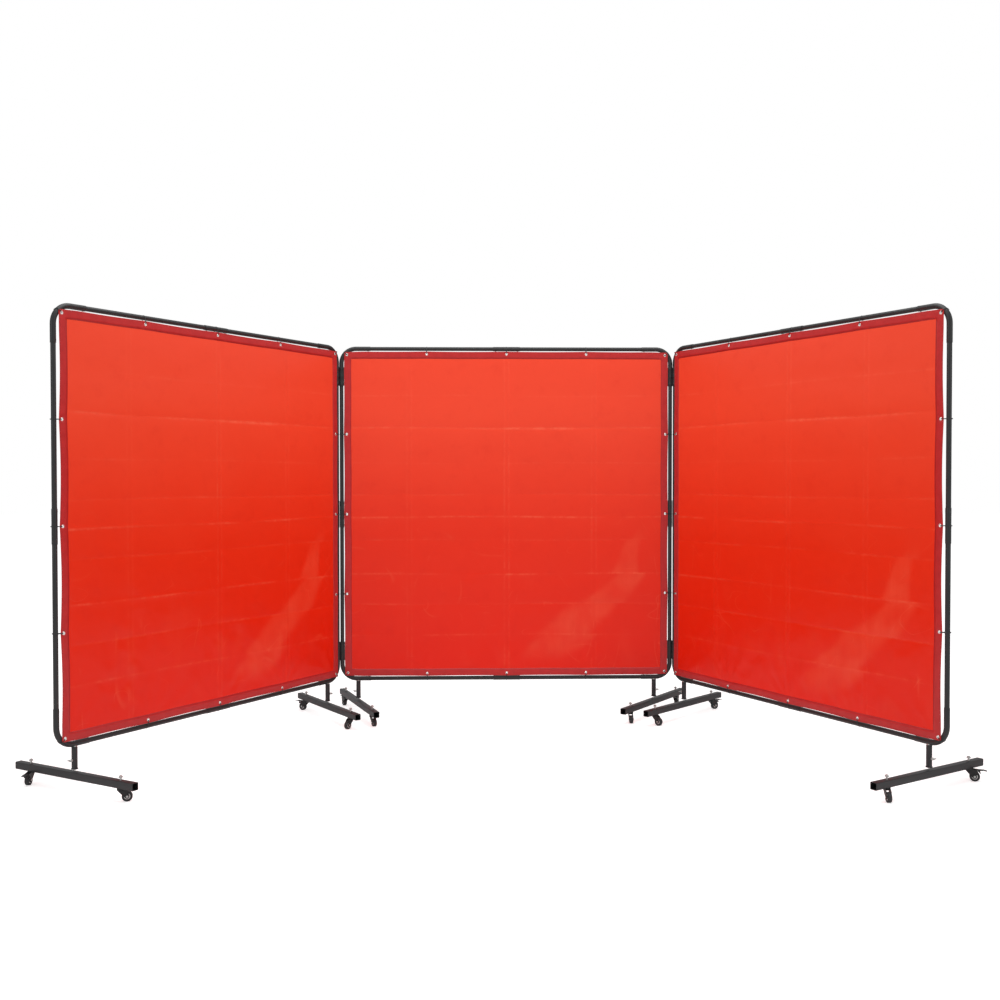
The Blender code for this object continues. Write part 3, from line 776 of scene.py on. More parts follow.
class Sheet:
    """The surface of one curtain over u across it and s down from its top edge, both from 0 to 1."""

    def __init__(self, panel, settings, seed, pulls):
        self.panel, self.settings, self.seed, self.pulls = panel, settings, seed, pulls
        self.size = np.array((settings.width, settings.height))

    def relief(self, u, s):
        """How far the vinyl stands towards the viewer: a broad billow sin(pi u) sin(pi s); for each storage
        fold a ridge exp(-(d / w)^2) and a low pillow between folds; fans cos(14 a) exp(-r / 0.2) from the
        bottom grommets; and crinkles that grow downwards. All fade out towards the hem."""
        look = self.settings
        width, height = self.size
        edge = np.minimum(np.minimum(u, 1 - u) * width, np.minimum(s, 1 - s) * height)
        total = look.billow * np.sin(PI * u) * np.sin(PI * s) * (1 + 0.3 * ripples(u, s, 1.1, self.seed))
        folds = np.array([place for place, _ in HORIZONTAL_FOLDS])
        for k, (place, weight) in enumerate(HORIZONTAL_FOLDS):
            drift = place + 0.0016 * np.sin(2 * PI * (1.3 * u + 0.21 * k + self.seed))
            uneven = 0.72 + 0.4 * ripples(u, 0 * s + place, 2.2, self.seed + k)
            ridge = np.exp(-(((s - drift) * height / 0.010) ** 2))
            total = total + (-1) ** k * look.fold * weight * uneven * ridge
        for place, weight in VERTICAL_FOLDS:
            for way in (-1, 1):
                gap = (u - place) * width + way * FOLD_PAIR
                total = total + way * 0.7 * look.fold * weight * np.exp(-((gap / 0.008) ** 2))
        strip = np.interp(s, np.concatenate([[0], folds, [1]]), np.arange(len(folds) + 2))
        total = total + 0.0010 * np.sin(PI * (strip % 1)) * (1 + 0.6 * ripples(u, s, 1.7, self.seed + 3))
        for k, place in enumerate(grommet_places(1.0, look.inset / width)):
            across, up = (u - place) * width, (1 - s) * height
            reach = np.hypot(across, up)
            fan = np.cos(14 * np.arctan2(across, up + 0.01) + 1.7 * k + self.seed)
            total = total + 0.0016 * fan * np.exp(-reach / 0.20) * smooth_step(reach, 0.02, 0.10)
        for corner_u, corner_s in ((0, 0), (1, 0)):
            across, down = abs(u - corner_u) * width, abs(s - corner_s) * height
            tug = np.cos((across - down) / 0.011 + self.seed) * np.exp(-np.hypot(across, down) / 0.10)
            total = total + 0.0011 * tug
        crinkle = ripples(u, s, 9, self.seed + 1) * np.maximum(ripples(u, s, 2.3, self.seed + 2), 0)
        total = total + 0.0022 * crinkle * smooth_step(s, 0.45, 0.95)
        total = total + 0.0006 * ripples(u, s, 13, self.seed + 4, 9) * smooth_step(s, 0.70, 1.0)
        total = total + 0.0004 * ripples(u, s, 7, self.seed + 5)
        faded = total * (0.10 + 0.90 * smooth_step(edge, 0.012, 0.075))
        return np.maximum(faded, -0.0010 - 0.004 * smooth_step(edge, 0.06, 0.2))

    def point(self, u, s, offset):
        """The place of (u, s) with the sheet's edges drawn in between grommets, `offset` behind the
        vinyl's middle: x = (u - 1/2) W + pull, y = depth - relief + offset, z = top - s H."""
        width, height = self.size
        left, right, level = self.pulls

        def scallop(share, inset, length):
            steps = (share * length - inset) / (length - 2 * inset) * (GROMMETS_PER_SIDE - 1)
            return np.abs(np.sin(PI * np.clip(steps, 0, GROMMETS_PER_SIDE - 1)))

        inset = self.settings.inset
        down, along = scallop(s, inset, height), scallop(u, inset, width)
        near = [np.exp(-share * width / EDGE_REACH) for share in (u, 1 - u)]
        rows = [np.exp(-share * height / EDGE_REACH) for share in (s, 1 - s)]
        x = (u - 0.5) * width + left * down * near[0] - right * down * near[1]
        fall = s * height + level * along * (rows[0] - rows[1])
        gaps = (np.minimum(u, 1 - u) * width) ** 2 + (np.minimum(s, 1 - s) * height) ** 2
        corner = np.exp(-gaps / 0.07 ** 2)
        x = x - np.sign(u - 0.5) * 0.0035 * corner
        fall = fall - np.sign(s - 0.5) * 0.0045 * corner
        y = self.panel.curtain_depth - self.relief(u, s) + offset
        return np.stack([x, y, self.panel.curtain_high - fall], -1)

    def fold_whitening_and_glint(self, u, s):
        """Whitening along the fold lines, partly the vinyl's own stress whitening and partly a painted highlight:
        the sum of exp(-(d / 4.5 mm)^2), patchy along each line, and one painted glint across part of the upper
        sheet."""
        width, height = self.size
        marks = 0 * u
        for k, (place, weight) in enumerate(HORIZONTAL_FOLDS):
            drift = place + 0.0016 * np.sin(2 * PI * (1.3 * u + 0.21 * k + self.seed))
            patchy = np.clip(0.55 + 0.6 * ripples(u, 0 * s + place, 3.1, self.seed + 2 * k), 0, 1)
            marks = marks + weight * patchy * np.exp(-(((s - drift) * height / 0.0045) ** 2))
        stretch = smooth_step(u, 0.48, 0.54) * (1 - smooth_step(u, 0.69, 0.75))
        # painted glint: a highlight painted along part of the fold near the top of the sheet
        glint = np.exp(-(((s - 0.236) * height / 0.006) ** 2)) * stretch
        for place, weight in VERTICAL_FOLDS:
            for way in (-1, 1):
                gap = (u - place) * width + way * FOLD_PAIR
                patchy = 0.6 + 0.4 * ripples(u, s, 3, self.seed)
                marks = marks + 0.8 * weight * np.exp(-((gap / 0.0045) ** 2)) * patchy
        return np.clip(marks + glint, 0, 1)

    def painted_reflection_band(self, u, s):
        """A painted reflection: a pale band that comes down from the right edge to the bottom, broken at each
        fold,
        where the sheet changes its slope: exp(-(d / w)^8) with d the distance across from the band's own line."""
        folds = np.array([place for place, _ in HORIZONTAL_FOLDS])
        strip = np.searchsorted(folds, s)
        shift = np.array((0, 0, 0, 0, 0, 0.004, -0.012, 0.016, -0.010, 0.012))[strip]
        levels = (0.52, 0.60, 0.68, 0.76, 0.83, 0.89, 0.97)
        line = np.interp(s, levels, (0.93, 0.90, 0.88, 0.80, 0.735, 0.66, 0.57))
        wide = np.interp(s, (0.55, 0.66, 0.78, 0.90, 1.0), (0.018, 0.035, 0.070, 0.085, 0.06))
        across = (u - line - shift) / wide + 0.10 * ripples(u, s, 4, self.seed + 6)
        band = np.exp(-across ** 8) * smooth_step(s, 0.52, 0.64) * (1 - smooth_step(s, 0.90, 0.97))
        wisps = np.clip(ripples(u * 1.3, s * 0.7, 5, self.seed + 7), 0, 1) ** 2
        low = smooth_step(s, 0.55, 0.85) * (1 - smooth_step(s, 0.95, 1.0)) * smooth_step(u, 0.05, 0.3)
        return np.clip(band * (0.62 + 0.25 * ripples(u, s, 8, self.seed + 8)) + 0.16 * wisps * low, 0, 1)


def curtain_grid(sheet):
    """u and s of the grid's points, and which quads are hem and which are grommet holes."""
    settings = sheet.settings
    width, height = sheet.size
    hem = settings.hem
    lines, middles, punched = [], [], []
    for length, folds in ((width, VERTICAL_FOLDS), (height, HORIZONTAL_FOLDS)):
        places = grommet_places(length, settings.inset)
        near = [p + d for p in places for d in (-GROMMET_HOLE, GROMMET_HOLE)] + [hem, length - hem]
        for place, _ in folds:
            pair = (-FOLD_PAIR, FOLD_PAIR) if folds is VERTICAL_FOLDS else (0,)
            near += [place * length + p + d for p in pair for d in (-0.009, -0.0045, 0, 0.0045, 0.009)]
        grid = sheet_lines(length, near)
        middle = (grid[1:] + grid[:-1]) / 2
        lines.append(grid / length)
        middles.append(middle)
        punched.append(np.abs(middle[:, None] - places[None]).min(1) < GROMMET_HOLE)
    u, s = np.meshgrid(*lines)
    across, down = middles
    edge = np.minimum(
        np.minimum(across, width - across)[None, :], np.minimum(down, height - down)[:, None]
    )
    ring = edge < 2 * settings.inset
    cut = punched[1][:, None] & punched[0][None, :] & ring
    return u, s, edge < hem, cut


def lattice(points, keep):
    """The kept quads of a grid of points whose rows run down and columns across, facing -y."""
    index = np.arange(points.shape[0] * points.shape[1]).reshape(points.shape[:2])
    corners = [index[:-1, :-1], index[1:, :-1], index[1:, 1:], index[:-1, 1:]]
    quads = np.stack(corners, -1)[keep]
    used, quads = np.unique(quads, return_inverse=True)
    return Shape(points.reshape(-1, 3)[used], quads.reshape(-1, 4)), used


def add_layers(obj, uv, layers):
    """Write a UV map and point attributes to a mesh."""
    mesh = obj.data
    corners = np.zeros(len(mesh.loops), int)
    mesh.loops.foreach_get("vertex_index", corners)
    mesh.uv_layers.new(name="sheet").uv.foreach_set("vector", uv[corners].astype(np.float32).ravel())
    for name, values in layers.items():
        mesh.attributes.new(name, "FLOAT", "POINT").data.foreach_set("value", values.astype(np.float32))


def thicken(obj, thickness, offset):
    """Give a surface a wall, in front of it (1), behind it (-1) or about it (0)."""
    wall = obj.modifiers.new("wall", "SOLIDIFY")
    wall.thickness, wall.offset, wall.use_even_offset, wall.use_rim = thickness, offset, False, True


def eyelet():
    """A rolled two-part grommet about z: a crowned flange in front, a flatter washer behind and a barrel."""
    front = [
        (0.0071, 0.0009), (0.0072, 0.0012), (0.0067, 0.0018), (0.0056, 0.0022), (0.0046, 0.0021), (0.0039, 0.0015),
    ]
    back = [
        (0.0036, 0.0008), (0.0036, -0.0010), (0.0041, -0.0016), (0.0050, -0.0018), (0.0069, -0.0014),
        (0.0071, -0.0009),
    ]
    return turned(front + back, 26, closed=True)


def tie_path(reach, edge, radius, depth):
    """A tie's loop in the plane of the depth a and the way outwards b: from the grommet's hole round the
    back of the tube, over the sheet's edge and back to the hole. It leaves the hole and reaches the edge
    along the tangents of the circle, at the angle of each point plus or minus acos(r / distance)."""
    hole = np.array((depth, -reach))
    over = np.array((depth - 0.0026, -reach + edge + 0.0005))
    front = np.array((depth - 0.0034, -reach + 0.005))
    angles = []
    for point, way in ((hole, 1), (over, -1)):
        distance = np.linalg.norm(point)
        angles.append(math.atan2(point[1], point[0]) + way * math.acos(min(1, radius / distance)))
    first, last = angles
    while last < first:
        last += 2 * PI
    turn = np.linspace(first, last, 26)
    curve = radius * np.stack([np.cos(turn), np.sin(turn)], -1)
    corners = np.vstack([hole, curve, over, front, hole])
    steps = np.concatenate([[0], np.cumsum(np.linalg.norm(np.diff(corners, axis=0), axis=1))])
    even = np.linspace(0, steps[-1], 73)[:-1]
    loop = np.stack([np.interp(even, steps, corners[:, i]) for i in range(2)], -1)
    for _ in range(3):
        loop = (np.roll(loop, 1, 0) + 2 * loop + np.roll(loop, -1, 0)) / 4
    return loop


def cable_tie(place, outward, reach, edge, radius, depth):
    """A flat strap round a tube and through a grommet, with its head and cut tail behind the tube."""
    matrix = axes(place + outward * reach - Y * depth, Y, outward)
    strap = swept(
        np.column_stack([tie_path(reach, edge, radius + 0.0008, depth), np.zeros(72)]),
        square_section(0.5, 0.3, 2) * (0.0011, 0.0036), Z, closed=True,
    )
    head = plate(eased(square_section(0.0026, 0.0008, 1) * (1.0, 0.85), 0.0004), 0.0048, 0.0005)
    turn = 0.45
    seat = (radius + 0.0026) * np.array((math.cos(turn), math.sin(turn), 0))
    head = head.moved(axes(seat, (math.cos(turn), math.sin(turn), 0), (-math.sin(turn), math.cos(turn), 0)))
    tail_end = seat + 0.0052 * np.array((math.cos(turn + 2.1), math.sin(turn + 2.1), 0))
    tail_path = np.array((seat, (seat + tail_end) / 2 + (0.0006, 0, 0), tail_end))
    tail = swept(tail_path, square_section(0.5, 0.3, 2) * (0.0010, 0.0034), Z)
    return (strap + head + tail).moved(matrix)


class SCREEN_OT_curtains(bpy.types.Operator):
    """Build the vinyl sheets with their hems, grommets and cable ties"""

    bl_idname = "screen.curtains"
    bl_label = "Curtains"

    def execute(self, context):
        settings = context.scene.screen_curtain
        tube = context.scene.screen_frame
        FINISHES["orange_vinyl"] = vinyl(settings)
        FINISHES["hem_vinyl"] = hem_vinyl(settings)
        for seed, name in enumerate(PANELS):
            panel = Panel(name)
            sheet = Sheet(panel, settings, 0.37 + 1.31 * seed, PULLS[name])
            self.build(panel, sheet, settings, tube)
        return {"FINISHED"}

    def build(self, panel, sheet, settings, tube):
        node = [f"{panel.name}_curtain"]
        u, s, hem, cut = curtain_grid(sheet)
        uv = np.stack([u, 1 - s], -1).reshape(-1, 2)
        shape, used = lattice(sheet.point(u, s, 0), ~cut)
        vinyl_sheet = panel.piece(
            "curtain_sheet", shape, FINISHES["orange_vinyl"], replaced=node, slot="curtain_vinyl", sharp=PI
        )
        layers = {"crease": sheet.fold_whitening_and_glint(u, s), "haze": sheet.painted_reflection_band(u, s)}
        add_layers(vinyl_sheet, uv[used], {name: layer.ravel()[used] for name, layer in layers.items()})
        thicken(vinyl_sheet, settings.vinyl, 0)
        border = self.hem(panel, sheet, u, s, hem & ~cut, node)
        rings = self.grommets(panel, sheet, node)
        ties = self.ties(panel, sheet, settings, tube)

    def hem(self, panel, sheet, u, s, keep, node):
        """The doubled border: a layer in front of the sheet, one behind it and a round turn over the edge."""
        gap = sheet.settings.vinyl / 2 + 0.00008
        front, used = lattice(sheet.point(u, s, -gap), keep)
        back, _ = lattice(sheet.point(u, s, gap), keep)
        back.quads = back.quads[:, ::-1]
        rows, columns = u.shape
        index = np.arange(rows * columns).reshape(rows, columns)
        loop = np.concatenate([index[0, :-1], index[:-1, -1], index[-1, :0:-1], index[:0:-1, 0]])
        position = {corner: i for i, corner in enumerate(used.tolist())}
        loop = np.array([position[corner] for corner in loop.tolist()])
        middle = (front.points[loop] + back.points[loop]) / 2
        ahead = np.roll(middle, -1, 0) - np.roll(middle, 1, 0)
        outward = np.cross(-Y, ahead)
        outward /= np.linalg.norm(outward, axis=1, keepdims=True)
        centre = middle.mean(0)
        outward *= np.sign(((middle - centre) * outward).sum(1).mean())
        turn = Shape(middle + outward * 0.0006, np.zeros((0, 4)))
        whole = front + back + turn
        first, second = len(front.points), len(front.points) + len(back.points)
        rings = [loop, second + np.arange(len(loop)), first + loop]
        wraps = [
            np.stack([a, b, np.roll(b, -1), np.roll(a, -1)], -1) for a, b in zip(rings, rings[1:])
        ]
        whole.quads = np.vstack([whole.quads, *wraps])
        middle_uv = np.stack([u, 1 - s], -1).reshape(-1, 2)[used]
        uv = np.vstack([middle_uv, middle_uv, middle_uv[loop]])
        obj = panel.piece("curtain_hem", whole, FINISHES["hem_vinyl"], replaced=node, slot="curtain_vinyl")
        add_layers(obj, uv, {})
        thicken(obj, 0.0005, 1)
        return obj

    def seats(self, sheet):
        """Where the grommets sit: shares across and down, and the ways from the middle (-1, 0, 1)."""
        width, height = sheet.size
        across = grommet_places(width, sheet.settings.inset) / width
        down = grommet_places(height, sheet.settings.inset) / height
        last = GROMMETS_PER_SIDE - 1
        for i, u in enumerate(across):
            for j, s in enumerate(down):
                if i in (0, last) or j in (0, last):
                    sides = [(k == last) - (k == 0) for k in (i, j)]
                    yield i, j, u, s, sides[0], -sides[1]

    def grommets(self, panel, sheet, node):
        shapes = []
        for _, _, u, s, _, _ in self.seats(sheet):
            place = sheet.point(np.array([u]), np.array([s]), 0)[0]
            shapes.append(eyelet().moved(facing(place, -Y)))
        return panel.piece("curtain_grommets", joined(shapes), nickel(), replaced=node)

    def ties(self, panel, sheet, settings, tube):
        strap = finish("tie_nylon", nylon, (0.012, 0.012, 0.013))
        shapes = []
        middle = GROMMETS_PER_SIDE // 2
        for i, j, u, s, side, level in self.seats(sheet):
            place = sheet.point(np.array([u]), np.array([s]), 0)[0]
            place[1] = 0
            corner = np.array((side * panel.half, 0, panel.top if level > 0 else panel.bottom))
            if side and level:
                bend = corner - (side * tube.bend, 0, level * tube.bend)
                outward = (place - bend) / np.linalg.norm(place - bend)
                reach = tube.bend - np.linalg.norm(place - bend)
                edge, radius = settings.inset * math.sqrt(2), panel.sleeve
            else:
                outward = side * X + level * Z
                reach = abs((corner - place) @ outward)
                edge = settings.inset
                radius = panel.sleeve if middle in (i, j) else tube.tube
            depth = panel.curtain_depth
            shapes.append(cable_tie(place + Y * depth, outward, reach, edge, radius, depth))
        return panel.piece("cable_ties", joined(shapes), strap)


# ------------------------------------------------------------------------------ clips, feet, casters
class SCREEN_OT_clips(bpy.types.Operator):
    """Build the double clips that join the panels' posts"""

    bl_idname = "screen.clips"
    bl_label = "Double Clips"

    def execute(self, context):
        settings = context.scene.screen_frame
        plastic = finish("clip_plastic", moulded_plastic, tuple(settings.clip))
        for name in ("left", "right"):
            post = np.array(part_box(f"centre_{name}_post")).mean(0)
            spots = [post, np.array(JOINTS[f"{name}_fold"]["pos_m"])]
            for level in ("upper", "lower"):
                low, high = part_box(f"{name}_{level}_clip")
                shape = self.clip(*spots, low.z, high.z, Panel(name).sleeve)
                node = f"{name}_{level}_clip"
                piece(f"{name}_{level}_double_clip", shape, plastic, "centre_panel", [node], "clip_plastic")
        return {"FINISHED"}

    def clip(self, first, second, low, high, sleeve):
        """Two ribbed collars and the web between them."""
        length = high - low
        rib = 0.0035
        places = np.array((0.010, length / 2, length - 0.010))
        hump = ((-rib, 0), (-rib / 2, 0.0007), (rib / 2, 0.0007), (rib, 0))
        stops = [(place + step, rise) for place in places for step, rise in hump]
        profile = wall_profile(length, sleeve + 0.0021, sleeve + 0.0005, 0.0006, stops)
        shapes = []
        for spot in (first, second):
            start = np.array((spot[0], spot[1], low))
            shapes.append(bored(straight(start, start + Z), profile, Y, 36))
        between = (second - first) * (1, 1, 0)
        along = between / np.linalg.norm(between)
        web = plate(square_section(0.5, 0.1, 2) * (0.0034, 0.0105), length - 0.004, 0.0005)
        middle = (first + second) / 2 * (1, 1, 0) + Z * (low + high) / 2
        return joined([*shapes, web.moved(axes(middle, along, np.cross(Z, along)))])


class SCREEN_OT_feet(bpy.types.Operator):
    """Build the crossbars, uprights, wing bolts and caster stems"""

    bl_idname = "screen.feet"
    bl_label = "Feet"

    def execute(self, context):
        settings = context.scene.screen_foot
        coat = finish("crossbar_coat", powder_coat, tuple(settings.coat), 0.44)
        for foot in FEET:
            self.build(foot, settings, coat)
        return {"FINISHED"}

    def build(self, foot, settings, coat):
        node, body = [f"{foot}_foot"], f"{foot}_foot"
        stand = np.array(JOINTS[f"{foot}_foot_swivel"]["pos_m"]) * (1, 1, 0)
        casters = [
            np.array(JOINTS[f"{foot}_{end}_caster_swivel"]["pos_m"]) * (1, 1, 0) for end in ("front", "back")
        ]
        along = (casters[1] - casters[0]) / np.linalg.norm(casters[1] - casters[0])
        points = np.array([vertex.co for vertex in frame["nodes"][node[0]].data.vertices])
        reach = np.abs((points - stand) @ along).max()
        bolt = self.wing_heights(points, stand)
        levels = [
            z for z in np.unique(points[:, 2].round(5))
            if np.ptp((points @ along)[np.isclose(points[:, 2], z, atol=1e-5)]) > reach
        ]  # heights at which the foot is nearly as long as the crossbar
        low, high = min(levels), max(levels)
        middle = stand + Z * (low + high) / 2
        matrix = axes(middle, along, np.cross(Z, along))
        bar = self.bar(reach, settings.bar, settings).moved(matrix)
        piece(f"{foot}_crossbar", bar, coat, body, node, "frame_steel")
        upright = self.upright(high, points[:, 2].max(), settings).moved(Matrix.Translation(stand))
        piece(f"{foot}_upright_tube", upright, coat, body, node, "frame_steel")
        piece(f"{foot}_wing_bolt", self.wing_bolt(stand, *bolt, settings), zinc(), body, node)
        stems = joined(self.stem(high, low).moved(Matrix.Translation(place)) for place in casters)
        piece(f"{foot}_caster_stems", stems, zinc(), body, node)

    def wing_heights(self, points, stand):
        """The wing bolt's direction and height, from the vertices that stand clear of the upright."""
        offset = (points - stand) * (1, 1, 0)
        far = (points[:, 2] > 0.115) & (np.linalg.norm(offset, axis=1) > 0.018)
        direction = offset[far].mean(0)
        return direction / np.linalg.norm(direction), points[far][:, 2].mean()

    def bar(self, reach, height, settings):
        """A square tube along x with rounded edges, its ends open and their rims eased."""
        wall, lip = settings.bar_wall, 0.0004
        outer, inner = [square_section(height / 2 - d, 0.0032 - d * 0.8) for d in (0, wall)]
        stations = ((-reach, lip), (-reach + lip, 0), (reach - lip, 0), (reach, lip))
        rows = []
        for x, inset in stations:
            rows.append(np.column_stack([np.full(len(outer), x), outer * (1 - 2 * inset / height)]))
        for x in (reach, -reach):
            rows.append(np.column_stack([np.full(len(inner), x), inner]))
        return skin(np.array(rows), closed=True)

    def upright(self, low, high, settings):
        """The round upright with a rippled weld bead at its foot. The bead's radius is
        2.1 mm (1 + 0.12 cos 26 a + 0.05 sin 7 a)."""
        radius = settings.upright
        tube = bored(
            straight((0, 0, low), (0, 0, low + 1)),
            wall_profile(high - low, radius, radius - settings.bar_wall), Y,
        )
        turn = np.linspace(0, 2 * PI, 157)[:-1]
        circle = np.stack([np.cos(turn), np.sin(turn), 0 * turn], -1)
        ring = (radius + 0.0002) * circle + (0, 0, low + 0.0004)
        bead = 0.0021 * (1 + 0.12 * np.cos(26 * turn) + 0.05 * np.sin(7 * turn))
        section = round_section(1, 10)[None] * bead[:, None, None]
        return tube + swept(ring, section, Z, closed=True)

    def wing_bolt(self, stand, direction, height, settings):
        """A threaded shank, a domed hub and two rounded wings: r = 4.2 mm + 10.8 mm |sin a|^1.6."""
        start = stand + Z * height
        shapes = [rod(0.003, start + direction * 0.0105, start + direction * 0.021)]
        dome = [(0.0049, 0), (0.0057, 0.0008), (0.0054, 0.0048), (0.0043, 0.0066), (0.0022, 0.0074)]
        shapes.append(turned(dome, 24).moved(facing(start + direction * 0.0185, direction)))
        turn = np.linspace(0, 2 * PI, 73)[:-1]
        flat = np.stack([0.62 * np.cos(turn), np.sin(turn)], -1)
        wing = (0.0042 + 0.0108 * np.abs(np.sin(turn)) ** 1.6)[:, None] * flat
        spread = np.cross(Z, direction)
        wings = axes(start + direction * 0.0245, direction, spread)
        shapes.append(plate(wing, 0.0027, 0.0007).moved(wings))
        collar = [(0.0052, 0.0), (0.0056, 0.0004), (0.0056, 0.0026), (0.0050, 0.0030)]
        seat = start + direction * (settings.upright - 0.0004)
        shapes.append(turned(collar, 24).moved(facing(seat, direction)))
        return joined(shapes)

    def stem(self, high, low):
        """A caster's stem from its head in the crown to the bolt end above a washer and nut."""
        head = [(0.0082, 0.0450), (0.0085, 0.0453), (0.0085, 0.0467), (0.0048, 0.0470)]
        thread = np.arange(9)
        ridge = np.column_stack([0.0044 - 0.0003 * (thread % 2), high + WASHER + thread * 0.0008])
        outline = head + [(0.0045, 0.0472), (0.0045, high)] + ridge.tolist() + [(0.0036, high + 0.0082)]
        washer = wall_profile(WASHER, 0.0098, 0.0047, 0.0003)
        disc = bored(straight((0, 0, high), (0, 0, high + 1)), washer, Y)
        nut = hex_nut(0.0132, 0.0048, 0.0047).moved(Matrix.Translation((0, 0, high + WASHER)))
        return turned(outline, 20) + disc + nut


class SCREEN_OT_casters(bpy.types.Operator):
    """Build the twelve swivel casters and six brake pedals"""

    bl_idname = "screen.casters"
    bl_label = "Casters"

    def execute(self, context):
        settings = context.scene.screen_foot
        for foot in FEET:
            for end in ("front", "back"):
                self.build(foot, end, settings)
        return {"FINISHED"}

    def build(self, foot, end, settings):
        plastic = finish("caster_plastic", moulded_plastic, tuple(settings.plastic))
        rubber = finish("tread_rubber", tread_rubber, tuple(settings.rubber))
        hub_plastic = finish("hub_plastic", moulded_plastic, (0.10, 0.10, 0.105), 0.38)
        swivel, hub = [
            np.array(JOINTS[f"{foot}_{end}_{kind}"]["pos_m"]) for kind in ("caster_swivel", "wheel_spin")
        ]
        trail = (hub - swivel) * (1, 1, 0)
        reach = np.linalg.norm(trail)
        ahead = trail / reach
        stand = axes(swivel * (1, 1, 0), ahead, np.cross(Z, ahead))
        upright = axes(swivel * (1, 1, 0), ahead, Z)  # plates lie in the plane of the heading and up
        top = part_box(f"{foot}_{end}_fork")[1].z
        braked = end == "back"
        pivot = None
        if braked:
            press = np.array(JOINTS[f"{foot}_brake_press"]["pos_m"])
            pivot = np.array(((press - swivel) @ ahead, press[2]))
        body, node = f"{foot}_{end}_caster", [f"{foot}_{end}_fork"]
        axle = np.array((reach, hub[2]))
        fork = self.fork(axle, top, pivot, settings, upright, stand)
        piece(f"{foot}_{end}_caster_fork", fork, plastic, body, node, "caster_plastic")
        caps = self.axle(axle, pivot, settings, stand)
        piece(f"{foot}_{end}_axle", caps, zinc(), body, node)
        wheel_body, wheel_node = f"{foot}_{end}_wheel_hub", [f"{foot}_{end}_wheel"]
        centre = facing(hub, np.cross(Z, ahead))
        for kind, shape, material, slot in (
            ("tread", self.tyre(settings), rubber, "wheel_tread"),
            ("hub", self.hub(settings), hub_plastic, "caster_plastic"),
            ("hub_rings", self.rings(settings), bright_ring(), None),
        ):
            piece(f"{foot}_{end}_{kind}", shape.moved(centre), material, wheel_body, wheel_node, slot)
        if braked:
            shape = self.pedal(pivot, axle, settings).moved(upright)
            node = [f"{foot}_brake_pedal"]
            piece(f"{foot}_pedal", shape, plastic, f"{foot}_brake", node, "caster_plastic")

    def fork(self, axle, top, pivot, settings, upright, stand):
        """A domed crown and two swept plates with eased corners, a raised rim and a boss at the axle."""
        bottom = 2 * settings.wheel + 0.0035
        dome = [
            (0.0150, bottom), (0.0158, bottom + 0.0008), (0.0160, bottom + 0.0022), (0.0152, bottom + 0.0026),
            (0.0152, bottom + 0.0034), (0.0160, bottom + 0.0038), (0.0160, top - 0.0034), (0.0153, top - 0.0014),
            (0.0135, top - 0.0004), (0.0100, top), (0.0060, top), (0.0055, top - 0.0005),
            (0.0055, bottom + 0.0004), (0.0060, bottom),
        ]
        crown = turned(dome, 36, closed=True).moved(stand)
        front = [(-0.0112, top - 0.0020), (-0.0112, bottom - 0.0015)]
        boss = arc(axle, 0.009, 215, 390, 16)
        if pivot is None:
            rear = [(axle[0] + 0.0035, bottom - 0.001), (0.0150, top - 0.0020)]
        else:
            rear = [*arc(pivot, PEDAL_HUB, -30, 90, 6), (pivot[0] - 0.0055, pivot[1] + PEDAL_HUB)]
            rear.append((0.0112, top - 0.0020))
        corners = np.vstack([front, boss, rear])
        cuts = np.full(len(corners), 0.0006)
        cuts[:2], cuts[-2:] = 0.0035, 0.003
        outline = eased(corners, cuts, 4)
        spread = settings.tread / 2 + FORK_GAP + FORK_PLATE / 2
        shapes = [crown]
        for side in (-1, 1):
            cheek = plate(outline, FORK_PLATE, 0.0004).moved(axes((0, 0, -side * spread), X, Y))
            pad = turned([(0.0082, 0), (0.0082, 0.0006), (0.0074, 0.0011), (0.0052, 0.0011)], 30)
            turn = facing((axle[0], axle[1], -side * (spread + 0.0006)), (0, 0, -side))
            shapes.append((cheek + pad.moved(turn)).moved(upright))
        return joined(shapes)

    def axle(self, axle, pivot, settings, stand):
        """The axle with a domed cap on each side, and the pedal's pin."""
        side = settings.tread / 2 + FORK_GAP + FORK_PLATE
        reach = side + 0.0020
        cap = [(0.0046, 0.0011), (0.0050, 0.0014), (0.0048, 0.0022), (0.0034, 0.0030), (0.0014, 0.0033)]
        shapes = [rod(0.0039, (axle[0], -reach + 0.0006, axle[1]), (axle[0], reach - 0.0006, axle[1]))]
        for way in (-1, 1):
            shapes.append(turned(cap, 24).moved(facing((axle[0], way * side, axle[1]), (0, way, 0))))
        if pivot is not None:
            pin = [(pivot[0], way * (side + 0.0003), pivot[1]) for way in (-1, 1)]
            shapes.append(rod(0.0018, *pin, 0.0003, 14))
        return joined(shapes).moved(stand)

    def tyre(self, settings):
        """A tread with rounded shoulders, crowned by 0.2 mm: a closed profile about the axle."""
        half, radius = settings.tread / 2, settings.wheel
        shoulder = arc((radius - 0.003, half - 0.003), 0.003, 0, 90, 7)
        outside = np.vstack([shoulder[::-1] * (1, -1), shoulder])
        inside = [
            (0.0150, half - 0.0006), (0.0145, half - 0.0012), (0.0145, 0.0012 - half), (0.0150, 0.0006 - half),
        ]
        return turned(np.vstack([outside, inside]), 56, closed=True)

    def hub(self, settings):
        """A dished wheel centre: rim, recessed web and boss round the axle."""
        half = settings.tread / 2
        half_profile = [
            (0.0143, half - 0.0016), (0.0138, half - 0.0008), (0.0128, half - 0.0008), (0.0122, half - 0.0030),
            (0.0070, half - 0.0034), (0.0064, half - 0.0004), (0.0058, half), (0.0045, half),
        ]
        return turned(half_profile + [(r, -z) for r, z in reversed(half_profile)], 40, closed=True)

